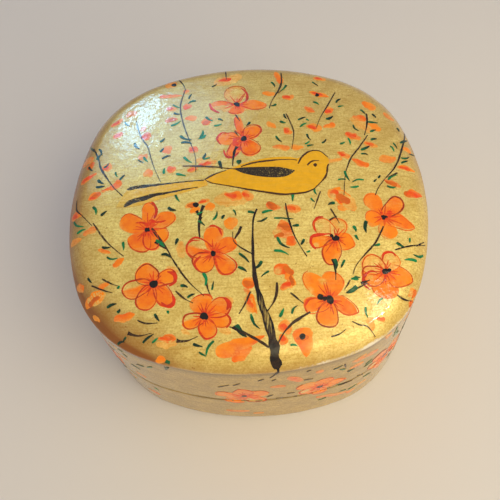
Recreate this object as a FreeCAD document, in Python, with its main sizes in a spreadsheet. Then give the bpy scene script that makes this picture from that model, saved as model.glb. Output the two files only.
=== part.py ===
# A lidded papier mache box, rounded square in plan, about three inches across.
#
# The walls are strips of pasted paper board bent round a former, the floor is a pressed board
# under the wall, and the crown of the lid is a moulded pillow of pulp glued on the lid's band.
# A thin collar stands inside the base, and the lid slides down over it until its band meets
# the base's wall at the seam. Front is -Y, up is +Z, and the origin is under the middle.
import FreeCAD
import Part
import Sketcher
import math
import os

from FreeCAD import Vector

# Driving dimensions, in millimetres
SIZES = {
    # outline in plan: four bowed sides joined by four round corners
    "box_width": 75.0,
    "box_depth": 73.5,
    "side_radius": 56.0,
    "front_radius": 58.0,
    "corner_radius": 24.5,
    # base
    "base_height": 15.5,
    "floor_thickness": 2.2,
    "foot_bevel": 1.0,
    "wall_thickness": 2.4,
    # collar inside the base, which the lid slides over
    "glue_gap": 0.15,
    "collar_thickness": 1.3,
    "collar_rise": 7.0,
    "collar_bevel": 0.5,
    # lid
    "lid_clearance": 0.3,
    "band_height": 19.5,
    "seam_bevel": 0.35,
    "crown_rise": 6.2,
    # the crown's flanks climb flank_rise for each flank_run, then roll over into the dome
    "flank_rise": 3.0,
    "flank_run": 2.5,
    "crown_roll_radius": 5.5,
    "crown_dome_radius": 190.0,
    # the hollow under the crown
    "crown_thickness": 2.3,
    "hollow_ledge": 1.5,
    "hollow_dome_radius": 260.0,
}

# How far the block and the cutter of a dome overrun it: shares of its rise and of the box
BLOCK_HEIGHT_SHARE = 1.25
CUTTER_HEIGHT_SHARE = 3
CUTTER_REACH_SHARE = 0.7

# Insets of the rings' faces from the outline, as expressions of the sheet's cells
NO_INSET = "0"
WALL_INSIDE = "Sizes.wall_thickness"
COLLAR_OUTSIDE = "(Sizes.wall_thickness + Sizes.glue_gap)"
COLLAR_INSIDE = "(Sizes.wall_thickness + Sizes.glue_gap + Sizes.collar_thickness)"
BAND_INSIDE = "(Sizes.wall_thickness + Sizes.glue_gap - Sizes.lid_clearance)"
HOLLOW_OUTSIDE = "(Sizes.wall_thickness + Sizes.glue_gap - Sizes.lid_clearance + Sizes.hollow_ledge)"

doc = FreeCAD.newDocument("papier_mache_box")


def make_sheet():
    sheet = doc.addObject("Spreadsheet::Sheet", "Sizes")
    for row, (name, value) in enumerate(SIZES.items(), start=1):
        sheet.set(f"A{row}", name)
        sheet.set(f"B{row}", str(value))
        sheet.setAlias(f"B{row}", name)
    doc.recompute()
    return sheet


sheet = make_sheet()


def value_of(expression):
    """The number that an expression of the sheet's cells gives."""
    return float(sheet.evalExpression(expression))


def drive(sketch, driven):
    """Adds constraints to the sketch, each with a name and bound to cells of the sheet."""
    for name, constraint, expression in driven:
        index = sketch.addConstraint(Sketcher.Constraint(*constraint, value_of(expression)))
        sketch.renameConstraint(index, name)
        sketch.setExpression(f"Constraints.{name}", expression)


def corner_centre(side_centre, side_reach, front_centre, front_reach):
    """Where a corner's centre lies: at given distances from the two side arcs' centres."""
    span = front_centre - side_centre
    along = (span.Length**2 + side_reach**2 - front_reach**2) / (2 * span.Length)
    across = math.sqrt(side_reach**2 - along**2)
    direction = span / span.Length
    outward = Vector(-direction.y, direction.x, 0)
    return side_centre + direction * along + outward * across


def add_outline(sketch, inset):
    """Draws the box's outline, moved in by inset."""
    side_radius = f"Sizes.side_radius - {inset}"
    front_radius = f"Sizes.front_radius - {inset}"
    corner_radius = f"Sizes.corner_radius - {inset}"
    side_offset = "Sizes.side_radius - Sizes.box_width / 2"
    front_offset = "Sizes.front_radius - Sizes.box_depth / 2"

    side = value_of(side_radius)
    front = value_of(front_radius)
    corner = value_of(corner_radius)
    right_centre = Vector(-value_of(side_offset), 0, 0)
    back_centre = Vector(0, -value_of(front_offset), 0)
    knuckle = corner_centre(right_centre, side - corner, back_centre, front - corner)
    turn_in = math.atan2(knuckle.y - right_centre.y, knuckle.x - right_centre.x)
    turn_out = math.atan2(knuckle.y - back_centre.y, knuckle.x - back_centre.x)

    # Anticlockwise from the right-hand side: side, corner, back, corner, side, corner, front, corner
    half_turn = math.pi
    full_turn = 2 * math.pi
    arcs = (
        (right_centre, side, -turn_in, turn_in),
        (knuckle, corner, turn_in, turn_out),
        (back_centre, front, turn_out, half_turn - turn_out),
        (Vector(-knuckle.x, knuckle.y, 0), corner, half_turn - turn_out, half_turn - turn_in),
        (-right_centre, side, half_turn - turn_in, half_turn + turn_in),
        (-knuckle, corner, half_turn + turn_in, half_turn + turn_out),
        (-back_centre, front, half_turn + turn_out, full_turn - turn_out),
        (Vector(knuckle.x, -knuckle.y, 0), corner, full_turn - turn_out, full_turn - turn_in),
    )
    first = sketch.GeometryCount
    for centre, radius, begin, end in arcs:
        circle = Part.Circle(centre, Vector(0, 0, 1), radius)
        sketch.addGeometry(Part.ArcOfCircle(circle, begin, end), False)
    right, back, left, fore = first, first + 2, first + 4, first + 6
    corners = (first + 1, first + 3, first + 5, first + 7)

    start_point, end_point, centre_point = 1, 2, 3
    x_axis, y_axis, origin = -1, -2, (-1, 1)
    for i in range(len(arcs)):
        following = first + (i + 1) % len(arcs)
        sketch.addConstraint(Sketcher.Constraint("Tangent", first + i, end_point, following, start_point))
    for arc in (right, left):
        sketch.addConstraint(Sketcher.Constraint("PointOnObject", arc, centre_point, x_axis))
    for arc in (back, fore):
        sketch.addConstraint(Sketcher.Constraint("PointOnObject", arc, centre_point, y_axis))
    sketch.addConstraint(Sketcher.Constraint("Equal", right, left))
    sketch.addConstraint(Sketcher.Constraint("Equal", back, fore))
    for arc in corners[1:]:
        sketch.addConstraint(Sketcher.Constraint("Equal", corners[0], arc))

    driven = (
        ("side_radius", ("Radius", right), side_radius),
        ("front_radius", ("Radius", back), front_radius),
        ("corner_radius", ("Radius", corners[0]), corner_radius),
        ("right_offset", ("DistanceX", right, centre_point, *origin), side_offset),
        ("left_offset", ("DistanceX", *origin, left, centre_point), side_offset),
        ("back_offset", ("DistanceY", back, centre_point, *origin), front_offset),
        ("front_offset", ("DistanceY", *origin, fore, centre_point), front_offset),
    )
    drive(sketch, [(f"{label}_{first}", constraint, size) for label, constraint, size in driven])


def plane_of(body, role):
    """One of the body's own origin planes, as a support for a sketch."""
    return [(next(f for f in body.Origin.OriginFeatures if f.Role == role), "")]


def outline_sketch(body, name, insets):
    """A sketch of one or two outlines on the body's own ground plane."""
    sketch = body.newObject("Sketcher::SketchObject", name)
    sketch.AttachmentSupport = plane_of(body, "XY_Plane")
    sketch.MapMode = "FlatFace"
    for inset in insets:
        add_outline(sketch, inset)
    return sketch


def new_body(name, bottom):
    """A body whose own ground plane lies at the height bottom."""
    body = doc.addObject("PartDesign::Body", name)
    body.Label = name
    body.setExpression("Placement.Base.z", bottom)
    return body


def pad(body, sketch, length):
    feature = body.newObject("PartDesign::Pad", f"{body.Name}_pad")
    feature.Profile = sketch
    feature.setExpression("Length", length)
    sketch.Visibility = False
    doc.recompute()
    return feature


def outermost_edge(feature, body, level):
    """The name of the furthest out of the level edges that lie at one height of the box."""
    height = level - body.Placement.Base.z
    at_level = []
    for number, edge in enumerate(feature.Shape.Edges, start=1):
        box = edge.BoundBox
        if abs(box.ZMin - height) + abs(box.ZMax - height) < Part.Precision.approximation():
            middle = edge.valueAt((edge.FirstParameter + edge.LastParameter) / 2)
            at_level.append((math.hypot(middle.x, middle.y), f"Edge{number}"))
    return max(at_level)[1]


def bevel_rim(body, feature, level, size):
    """Bevels the outer rim at one height: all its arcs, because they run tangent to each other."""
    bevel = body.newObject("PartDesign::Chamfer", f"{body.Name}_bevel")
    bevel.Base = (feature, [outermost_edge(feature, body, level)])
    bevel.setExpression("Size", size)
    doc.recompute()


# Floor: a pressed board the size of the outline, its lower edge rubbed off


def make_base_floor():
    body = new_body("base_floor", "0")
    sketch = outline_sketch(body, "floor_outline", (NO_INSET,))
    board = pad(body, sketch, "Sizes.floor_thickness")
    bevel_rim(body, board, 0, "Sizes.foot_bevel")
    return body


# Base wall: a ring of bent board that stands on the floor, its rim eased at the seam


def make_base_wall():
    body = new_body("base_wall", "Sizes.floor_thickness")
    sketch = outline_sketch(body, "wall_outline", (NO_INSET, WALL_INSIDE))
    ring = pad(body, sketch, "Sizes.base_height - Sizes.floor_thickness")
    bevel_rim(body, ring, SIZES["base_height"], "Sizes.seam_bevel")
    return body


# Collar: a thin strip glued inside the wall, standing proud of it, with a lead for the lid


def make_inner_collar():
    body = new_body("inner_collar", "Sizes.floor_thickness")
    sketch = outline_sketch(body, "collar_outline", (COLLAR_OUTSIDE, COLLAR_INSIDE))
    height = "Sizes.base_height + Sizes.collar_rise - Sizes.floor_thickness"
    ring = pad(body, sketch, height)
    bevel_rim(body, ring, SIZES["base_height"] + SIZES["collar_rise"], "Sizes.collar_bevel")
    return body


# Lid band: a ring as the base wall, thinner by the play that lets it slide over the collar


def make_lid_band():
    body = new_body("lid_band", "Sizes.base_height")
    sketch = outline_sketch(body, "band_outline", (NO_INSET, BAND_INSIDE))
    ring = pad(body, sketch, "Sizes.band_height")
    bevel_rim(body, ring, SIZES["base_height"], "Sizes.seam_bevel")
    return body


# Lid crown: a moulded shell, a pillow with a lower and smaller pillow taken out beneath. Each
# pillow leaves the band at one steep slope and ends in a shallow dome, and outside the two roll
# into each other; that meeting of eight conical flanks, the dome and the rounding between them
# is the hardest form of the box.


def dome_cutter(body, rise, dome_radius):
    """What lies above the dome, drawn about the dome's own centre on the body's XZ plane."""
    sketch = body.newObject("Sketcher::SketchObject", f"{body.Name}_cutter")
    sketch.AttachmentSupport = plane_of(body, "XZ_Plane")
    sketch.MapMode = "FlatFace"
    sketch.setExpression("AttachmentOffset.Base.y", f"{rise} - {dome_radius}")
    cutter_top = f"{dome_radius} + {rise} * {CUTTER_HEIGHT_SHARE}"
    cutter_reach = f"Sizes.box_width * {CUTTER_REACH_SHARE}"

    radius = value_of(dome_radius)
    reach = value_of(cutter_reach)
    top = value_of(cutter_top)
    rim_height = math.sqrt(radius**2 - reach**2)
    rim_angle = math.atan2(rim_height, reach)
    circle = Part.Circle(Vector(0, 0, 0), Vector(0, 0, 1), radius)
    sketch.addGeometry(Part.ArcOfCircle(circle, rim_angle, math.pi - rim_angle), False)
    corners = (
        Vector(-reach, rim_height, 0),
        Vector(-reach, top, 0),
        Vector(reach, top, 0),
        Vector(reach, rim_height, 0),
    )
    for begin, end in zip(corners, corners[1:]):
        sketch.addGeometry(Part.LineSegment(begin, end), False)

    start_point, end_point, centre_point = 1, 2, 3
    origin = (-1, 1)
    dome, left, roof, right = 0, 1, 2, 3
    for side in (dome, left, roof, right):
        following = (side + 1) % sketch.GeometryCount
        sketch.addConstraint(Sketcher.Constraint("Coincident", side, end_point, following, start_point))
    sketch.addConstraint(Sketcher.Constraint("Coincident", dome, centre_point, *origin))
    sketch.addConstraint(Sketcher.Constraint("Vertical", left))
    sketch.addConstraint(Sketcher.Constraint("Horizontal", roof))
    sketch.addConstraint(Sketcher.Constraint("Vertical", right))
    driven = (
        ("dome_radius", ("Radius", dome), dome_radius),
        ("cutter_top", ("DistanceY", *origin, roof, end_point), cutter_top),
        ("reach_right", ("DistanceX", *origin, roof, end_point), cutter_reach),
        ("reach_left", ("DistanceX", roof, start_point, *origin), cutter_reach),
    )
    drive(sketch, driven)
    return sketch


def make_pillow(name, inset, rise, dome_radius):
    """A block with flanks of one slope, its top cut to a dome by a turn about the dome's centre."""
    body = new_body(name, "Sizes.base_height + Sizes.band_height")
    outline = outline_sketch(body, f"{name}_outline", (inset,))
    block = pad(body, outline, f"{rise} * {BLOCK_HEIGHT_SHARE}")
    block.setExpression("TaperAngle", "-atan(Sizes.flank_run / Sizes.flank_rise)")
    doc.recompute()
    dome = body.newObject("PartDesign::Groove", f"{name}_dome")
    dome.Profile = dome_cutter(body, rise, dome_radius)
    dome.ReferenceAxis = (dome.Profile[0], ["H_Axis"])
    dome.Midplane = True
    dome.setExpression("Angle", f"2 * asin(Sizes.box_depth * {CUTTER_REACH_SHARE} / {dome_radius})")
    doc.recompute()
    return body


def round_crown(body):
    """Rolls the flanks over into the dome, along the dome's rim."""
    dome = body.Tip
    top = max(dome.Shape.Faces, key=lambda face: face.CenterOfMass.z)
    rim = []
    for number, edge in enumerate(dome.Shape.Edges, start=1):
        if any(edge.isSame(other) for other in top.Edges):
            rim.append(f"Edge{number}")
    roll = body.newObject("PartDesign::Fillet", f"{body.Name}_roll")
    roll.Base = (dome, rim)
    roll.setExpression("Radius", "Sizes.crown_roll_radius")
    doc.recompute()


def make_lid_crown():
    outside = make_pillow("crown_outside", NO_INSET, "Sizes.crown_rise", "Sizes.crown_dome_radius")
    round_crown(outside)
    hollow_rise = "(Sizes.crown_rise - Sizes.crown_thickness)"
    hollow = make_pillow("crown_hollow", HOLLOW_OUTSIDE, hollow_rise, "Sizes.hollow_dome_radius")
    shell = doc.addObject("Part::Cut", "lid_crown")
    shell.Label = "lid_crown"
    shell.Base = outside
    shell.Tool = hollow
    doc.recompute()
    return shell


pieces = [
    make_base_floor(),
    make_base_wall(),
    make_inner_collar(),
    make_lid_band(),
    make_lid_crown(),
]
doc.recompute()

for item in doc.Objects:
    if {"Invalid", "Error"} & set(item.State):
        raise RuntimeError(f"{item.Name} did not build: {item.State}")

os.makedirs("parts", exist_ok=True)
for piece in pieces:
    shape = piece.Shape
    if shape.isNull() or not shape.isValid():
        raise RuntimeError(f"{piece.Label} has no valid shape")
    shape.exportStep(f"parts/{piece.Label}.step")
    box = shape.BoundBox
    heights = f"z {box.ZMin:.2f} to {box.ZMax:.2f}"
    print(f"{piece.Label}: {shape.Volume:.0f} mm3 in {len(shape.Solids)} solid, {heights}")
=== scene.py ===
import bisect
import math
import random

import bmesh
import bpy
from mathutils import Matrix, Vector, geometry, noise
from mathutils.bvhtree import BVHTree


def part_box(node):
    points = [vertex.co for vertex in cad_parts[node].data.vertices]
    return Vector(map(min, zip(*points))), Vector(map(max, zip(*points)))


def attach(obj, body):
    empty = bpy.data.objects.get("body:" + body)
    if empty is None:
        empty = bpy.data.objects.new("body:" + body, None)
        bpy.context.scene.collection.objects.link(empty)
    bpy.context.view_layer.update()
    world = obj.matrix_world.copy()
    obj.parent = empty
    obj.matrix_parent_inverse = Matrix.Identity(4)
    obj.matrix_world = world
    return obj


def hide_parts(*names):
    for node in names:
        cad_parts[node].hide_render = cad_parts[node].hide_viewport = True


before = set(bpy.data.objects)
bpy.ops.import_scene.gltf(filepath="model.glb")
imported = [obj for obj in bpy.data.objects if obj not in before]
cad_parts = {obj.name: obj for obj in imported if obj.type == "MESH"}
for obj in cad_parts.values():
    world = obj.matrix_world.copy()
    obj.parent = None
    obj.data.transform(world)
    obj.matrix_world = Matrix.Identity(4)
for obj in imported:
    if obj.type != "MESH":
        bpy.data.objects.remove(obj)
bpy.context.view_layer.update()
MM = 0.001


# The view of the photograph
# The camera looks down on the box from in front. Its lens, distance, tilt and roll come from a fit of
# the box's outline, and the painted work further down is laid where its lines of sight meet the lid.
PHOTO_SIDE = 500
PHOTO_MIDDLE = PHOTO_SIDE / 2
FOCAL_PIXELS = 654
SENSOR_WIDTH = 36
VIEW_TURN = math.radians(-5.43)
VIEW_HEIGHT = math.radians(62.75)
VIEW_ROLL = math.radians(-6.49)
VIEW_DISTANCE = 132.1 * MM
VIEW_AIM = Vector((-0.4 * MM, -10.9 * MM, 0))

box_low, box_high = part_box("lid_band")
half_width = box_high.x
half_depth = box_high.y
shoulder = box_high.z
seam = box_low.z

to_box = Matrix.Rotation(-VIEW_TURN, 3, "Z")
ahead = to_box @ Vector((0, math.cos(VIEW_HEIGHT), -math.sin(VIEW_HEIGHT)))
level = to_box @ Vector((1, 0, 0))
steep = to_box @ Vector((0, math.sin(VIEW_HEIGHT), math.cos(VIEW_HEIGHT)))
across = level * math.cos(VIEW_ROLL) + steep * math.sin(VIEW_ROLL)
upward = steep * math.cos(VIEW_ROLL) - level * math.sin(VIEW_ROLL)
eye = to_box @ VIEW_AIM - ahead * VIEW_DISTANCE + Vector((0, 0, shoulder))

lens = bpy.data.cameras.new("photograph_view")
lens.sensor_width = SENSOR_WIDTH
lens.lens = FOCAL_PIXELS / PHOTO_SIDE * SENSOR_WIDTH
lens.clip_start = 10 * MM
camera = bpy.data.objects.new("photograph_view", lens)
camera.matrix_world = Matrix.Translation(eye) @ Matrix((across, upward, -ahead)).transposed().to_4x4()
bpy.context.scene.collection.objects.link(camera)
bpy.context.scene.camera = camera


def sight(pixel):
    """Direction of the line of sight through a pixel of the photograph."""
    right = pixel[0] - PHOTO_MIDDLE
    down = pixel[1] - PHOTO_MIDDLE
    return (ahead * FOCAL_PIXELS + across * right - upward * down).normalized()


# Lid crown
# The moulded pulp pillow that closes the lid, under chalk gesso, gold ground and amber lacquer. It was
# rubbed down by hand, so its surface is slightly uneven, and it is black lacquer underneath.
SIDE_RADIUS = 56 * MM
FRONT_RADIUS = 58 * MM
CORNER_RADIUS = 24.5 * MM
RIM_INSET = 0.2 * MM
FLANK_SLOPE = 3.0 / 2.5
CROWN_DROP = 0.2 * MM
DOME_RADIUS = 190 * MM
ROLL_BLEND = 1.5 * MM
ARRIS_RADIUS = 0.9 * MM
ARRIS_STEPS = 5
CROWN_LIP = 0.5 * MM
HOLLOW_INSET = 3.75 * MM
HOLLOW_DEPTH = 2.3 * MM
HOLLOW_SLOPE = 1.6
HOLLOW_DOME_RADIUS = 260 * MM
BAND_THICKNESS = 2.25 * MM
LOOP_STEPS = 512
NET_ROWS = LOOP_STEPS // 4
FLANK_RINGS = 22
FLANK_DEPTH = 7.5 * MM
BROAD_UNEVENNESS = 18 * MM
BROAD_AMOUNT = 0.14 * MM
CLOSE_UNEVENNESS = 3.5 * MM
CLOSE_AMOUNT = 0.035 * MM
SHARP_ANGLE = math.radians(50)
UNEVENNESS_SEED = 1

# The noise library takes its seed from the clock unless it is given one
noise.seed_set(UNEVENNESS_SEED)
crown_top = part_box("lid_crown")[1].z - CROWN_DROP
side_centre = Vector((half_width - SIDE_RADIUS, 0))
front_centre = Vector((0, half_depth - FRONT_RADIUS))
crossings = geometry.intersect_sphere_sphere_2d(
    side_centre, SIDE_RADIUS - CORNER_RADIUS, front_centre, FRONT_RADIUS - CORNER_RADIUS)
knuckle = max(crossings, key=lambda crossing: crossing.x)
side_end = math.atan2(knuckle.y - side_centre.y, knuckle.x - side_centre.x)
front_start = math.atan2(knuckle.y - front_centre.y, knuckle.x - front_centre.x)


def outline_point(facing, inset):
    """The place where the outline, moved in by inset, faces the angle facing."""
    quarter = math.atan2(abs(math.sin(facing)), abs(math.cos(facing)))
    centre = knuckle
    radius = CORNER_RADIUS
    if quarter < side_end:
        centre = side_centre
        radius = SIDE_RADIUS
    elif quarter > front_start:
        centre = front_centre
        radius = FRONT_RADIUS
    x = centre.x + (radius - inset) * math.cos(quarter)
    y = centre.y + (radius - inset) * math.sin(quarter)
    return Vector((math.copysign(x, math.cos(facing)), math.copysign(y, math.sin(facing)), 0))


def new_shape(*layers):
    """A bmesh that keeps a number at each of its points for every layer named."""
    shape = bmesh.new()
    for layer in layers:
        shape.verts.layers.float.new(layer)
    return shape


def inset_at(x, y):
    """How far a place on the plan lies inside the outline."""
    place = Vector((abs(x), abs(y)))
    from_side = place - side_centre
    from_front = place - front_centre
    beyond_side = math.atan2(from_side.y, from_side.x) > side_end
    before_front = math.atan2(from_front.y, from_front.x) < front_start
    if beyond_side and before_front:
        return CORNER_RADIUS - (place - knuckle).length
    return min(SIDE_RADIUS - from_side.length, FRONT_RADIUS - from_front.length)


def pillow_height(x, y, foot, slope, dome_top, dome_radius):
    """Height of a pillow: the lower of its flank and its dome, rounded where they meet."""
    flank = foot + slope * inset_at(x, y)
    dome = dome_top - dome_radius + math.sqrt(dome_radius ** 2 - x * x - y * y)
    share = min(max(0.5 + (dome - flank) / (2 * ROLL_BLEND), 0), 1)
    return dome + (flank - dome) * share - ROLL_BLEND * share * (1 - share)


def crown_height(x, y):
    return pillow_height(x, y, shoulder - CROWN_DROP, FLANK_SLOPE, crown_top, DOME_RADIUS)


def hollow_height(x, y):
    foot = shoulder - HOLLOW_SLOPE * HOLLOW_INSET
    return pillow_height(x, y, foot, HOLLOW_SLOPE, crown_top - HOLLOW_DEPTH, HOLLOW_DOME_RADIUS)


def hand_rubbed(place):
    """Moves a point by the slow unevenness of pulp and gesso, and never under the box's foot."""
    shift = noise.noise_vector(place / BROAD_UNEVENNESS) * BROAD_AMOUNT
    shift += noise.noise_vector(place / CLOSE_UNEVENNESS) * CLOSE_AMOUNT
    shift.z *= min(max(place.z / CLOSE_UNEVENNESS, 0), 1)
    return place + shift


def pillow_net(shape, edge_inset, height):
    """Lays a net of cells over the outline at height(x, y), and returns the shape's open edges."""
    for vertex in bmesh.ops.create_grid(shape, x_segments=NET_ROWS, y_segments=NET_ROWS, size=1)["verts"]:
        u, v = vertex.co.x, vertex.co.y
        ring = max(abs(u), abs(v))
        if ring == 0:
            facing = 0
        elif abs(u) >= abs(v):
            facing = math.pi / 4 * v / u + (math.pi if u < 0 else 0)
        else:
            facing = math.pi / 2 - math.pi / 4 * u / v + (math.pi if v < 0 else 0)
        flank_start = 1 - FLANK_RINGS * 2 / NET_ROWS
        if ring > flank_start:
            depth = edge_inset + FLANK_DEPTH * (1 - ring) / (1 - flank_start)
            vertex.co = outline_point(facing, depth)
        else:
            vertex.co = outline_point(facing, edge_inset + FLANK_DEPTH) * (ring / flank_start)
        vertex.co.z = height(vertex.co.x, vertex.co.y)
        vertex[shape.verts.layers.float["facing"]] = facing
    return [edge for edge in shape.edges if edge.is_boundary]


def walk_rim(shape, loop, stations):
    """Extrudes a loop of the outline through (inset, height) stations and returns the last loop."""
    facing = shape.verts.layers.float["facing"]
    for inset, height in stations:
        grown = bmesh.ops.extrude_edge_only(shape, edges=loop)["geom"]
        loop = [part for part in grown if isinstance(part, bmesh.types.BMEdge)]
        for vertex in grown:
            if isinstance(vertex, bmesh.types.BMVert):
                vertex.co = outline_point(vertex[facing], inset)
                vertex.co.z = height
    return loop


def bridge_to_net(shape, outer_loop, edge_inset, height):
    """Closes a shape from its outer loop to the rim of a second net, laid as in pillow_net."""
    open_edges = pillow_net(shape, edge_inset, height)
    taken = set(outer_loop)
    bmesh.ops.bridge_loops(shape, edges=outer_loop + [edge for edge in open_edges if edge not in taken])


def mark_inside(shape, is_inside):
    """Gives the second material to the faces that is_inside(inset, normal) says are out of the gold."""
    for face in shape.faces:
        middle = face.calc_center_median()
        if is_inside(inset_at(middle.x, middle.y), face.normal):
            face.material_index = 1


def finish_piece(name, shape, materials, body):
    """Makes a bmesh into a piece with its materials, which rides on a body."""
    for face in shape.faces:
        face.smooth = True
    mesh = bpy.data.meshes.new(name)
    shape.to_mesh(mesh)
    shape.free()
    for material in materials:
        mesh.materials.append(material)
    piece = bpy.data.objects.new(name, mesh)
    bpy.context.scene.collection.objects.link(piece)
    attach(piece, body)
    return piece


def finish_solid(name, shape, materials, body):
    """Finishes one of the box's own solids, which is smooth apart from its corners."""
    piece = finish_piece(name, shape, materials, body)
    piece.data.set_sharp_from_angle(angle=SHARP_ANGLE)
    return piece


def add_node(tree, kind, inputs, **settings):
    """Adds a node with its settings, and fills or links each input named in inputs."""
    made = tree.nodes.new(kind)
    for name, value in settings.items():
        setattr(made, name, value)
    for socket, value in inputs.items():
        if isinstance(value, bpy.types.NodeSocket):
            tree.links.new(value, made.inputs[socket])
        else:
            made.inputs[socket].default_value = value
    return made


def from_hex(code):
    """An sRGB colour, written as in #C9A23A, turned to linear."""
    parts = [int(code[place:place + 2], 16) / 255 for place in (1, 3, 5)]
    linear = [part / 12.92 if part <= 0.04045 else ((part + 0.055) / 1.055) ** 2.4 for part in parts]
    return (*linear, 1)


# The colour inputs and output of a Mix node set to RGBA
MIX_FACTOR = 0
MIX_FIRST = 6
MIX_SECOND = 7
MIX_RESULT = 2
GOLD_CLOUD_SIZE = 3.5 * MM
GOLD_GRAIN_SIZE = 0.4 * MM
BRUSH_LENGTH = 5 * MM
BRUSH_WIDTH = 0.3 * MM
BRUSH_RELIEF = 0.05 * MM
SPECK_SPACING = 0.55 * MM
GOLD_ROUGHNESS = (0.36, 0.52)
GOLD_METALLIC = 0.25
GOLD_SPECULAR = 0.1
BLACK_ROUGHNESS = (0.25, 0.5)
LACQUER_ROUGHNESS = 0.09
LACQUER_RIPPLE = 1.3 * MM
LACQUER_RELIEF = 0.08 * MM
# The pale colour of the painted highlight along the arris
HIGHLIGHT_CHALK = "#F4EEDF"
ACROSS_THE_LID = (1 / BRUSH_LENGTH, 1 / BRUSH_WIDTH, 1 / BRUSH_WIDTH)
ROUND_THE_WALL = (1 / BRUSH_LENGTH, 1 / BRUSH_LENGTH, 1 / BRUSH_WIDTH)


def new_material(name):
    """A material made of nodes, and the node of its surface."""
    material = bpy.data.materials.new(name)
    material.use_nodes = True
    return material, material.node_tree.nodes["Principled BSDF"]


def object_place(tree):
    """Where on the box a point is, in metres."""
    return add_node(tree, "ShaderNodeTexCoord", {}).outputs["Object"]


def point_value(tree, layer):
    """What a layer of the mesh holds at each point."""
    return add_node(tree, "ShaderNodeAttribute", {}, attribute_name=layer).outputs["Fac"]


def noise_pattern(tree, place, size, detail, roughness=0.5):
    """A cloudy pattern in patches of about that size."""
    return add_node(tree, "ShaderNodeTexNoise", {
        "Vector": place, "Scale": 1 / size, "Detail": detail, "Roughness": roughness}).outputs["Fac"]


def reckoned(tree, operation, *values, use_clamp=False):
    """What a Math node makes of its values."""
    return add_node(tree, "ShaderNodeMath", dict(enumerate(values)),
                    operation=operation, use_clamp=use_clamp).outputs[0]


def rescaled(tree, value, reach, span):
    """A value stretched from reach to span, and held at the ends."""
    return add_node(tree, "ShaderNodeMapRange", {
        "Value": value, "From Min": reach[0], "From Max": reach[1],
        "To Min": span[0], "To Max": span[1]}).outputs["Result"]


def mixed(tree, share, first, second):
    """The first colour turned by a share into the second."""
    return add_node(tree, "ShaderNodeMix", {
        MIX_FACTOR: share, MIX_FIRST: first, MIX_SECOND: second}, data_type="RGBA").outputs[MIX_RESULT]


def relief(tree, surface, height, strength, depth, socket="Normal"):
    """Shades a surface as if it rose and fell with height, by depth at most."""
    bumps = add_node(tree, "ShaderNodeBump", {"Strength": strength, "Distance": depth, "Height": height})
    tree.links.new(bumps.outputs["Normal"], surface.inputs[socket])


def mottle(tree, below, pattern, reach, amount, colour):
    """Lays a colour over the one below wherever a pattern rises through reach, by amount at most."""
    return mixed(tree, rescaled(tree, pattern, reach, (0, amount)), below, from_hex(colour))


def gold_colour(tree, bright, deep, aged, stretch):
    """Gold powder in fine brush strokes, with dust specks, darker where the amber lacquer is thick and where
    shade is painted in, and pale along a painted highlight.
    """
    place = object_place(tree)
    cloud = noise_pattern(tree, place, GOLD_CLOUD_SIZE, 4, 0.65)
    grain = noise_pattern(tree, place, GOLD_GRAIN_SIZE, 2, 0.7)
    drawn_out = add_node(tree, "ShaderNodeMapping", {"Vector": place, "Scale": stretch}).outputs["Vector"]
    streak = noise_pattern(tree, drawn_out, 1, 2)
    speck = noise_pattern(tree, place, SPECK_SPACING, 2, 0.7)
    rubbed = reckoned(tree, "ADD", grain, point_value(tree, "arris_highlight"))
    base = mottle(tree, from_hex(bright), cloud, (0.38, 0.66), 0.5, deep)
    base = mottle(tree, base, grain, (0.42, 0.64), 0.6, deep)
    base = mottle(tree, base, streak, (0.48, 0.72), 0.6, deep)
    base = mottle(tree, base, speck, (0.67, 0.72), 0.75, aged)
    # Darker where the lacquer is thick and where shade is painted in
    base = mottle(tree, base, point_value(tree, "lacquer_and_painted_shade"), (0, 1), 1, aged)
    # A painted highlight pales the gold along the arris
    base = mottle(tree, base, rubbed, (0.9, 1.3), 0.85, HIGHLIGHT_CHALK)
    return base, grain, streak


def clear_lacquer(tree, surface):
    """Clear lacquer brushed on thick over everything: a wet gloss, whose slow ripples break up a glint."""
    swell = noise_pattern(tree, object_place(tree), LACQUER_RIPPLE, 2)
    relief(tree, surface, swell, 0.8, LACQUER_RELIEF, "Coat Normal")
    surface.inputs["Coat Weight"].default_value = 1
    surface.inputs["Coat Roughness"].default_value = LACQUER_ROUGHNESS


def lacquered_gold(name, bright, deep, aged, stretch):
    """Bronze powder ground under clear amber lacquer: partly metallic, grainy, with a wet gloss over it."""
    material, surface = new_material(name)
    tree = material.node_tree
    base, grain, streak = gold_colour(tree, bright, deep, aged, stretch)
    relief(tree, surface, reckoned(tree, "ADD", grain, streak), 0.5, BRUSH_RELIEF)
    tree.links.new(base, surface.inputs["Base Color"])
    tree.links.new(rescaled(tree, grain, (0, 1), GOLD_ROUGHNESS), surface.inputs["Roughness"])
    surface.inputs["Metallic"].default_value = GOLD_METALLIC
    surface.inputs["Specular IOR Level"].default_value = GOLD_SPECULAR
    clear_lacquer(tree, surface)
    return material


def black_lacquer():
    """Black lacquer on the paper inside, brushed on thin and left satin, with dust and brush marks."""
    material, surface = new_material("satin_black_lacquer")
    tree = material.node_tree
    place = object_place(tree)
    dust = noise_pattern(tree, place, GOLD_CLOUD_SIZE, 5)
    relief(tree, surface, noise_pattern(tree, place, BRUSH_WIDTH, 3), 0.4, BRUSH_RELIEF)
    tree.links.new(mixed(tree, dust, from_hex("#15110E"), from_hex("#2A241F")), surface.inputs["Base Color"])
    tree.links.new(rescaled(tree, dust, (0, 1), BLACK_ROUGHNESS), surface.inputs["Roughness"])
    return material
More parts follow.
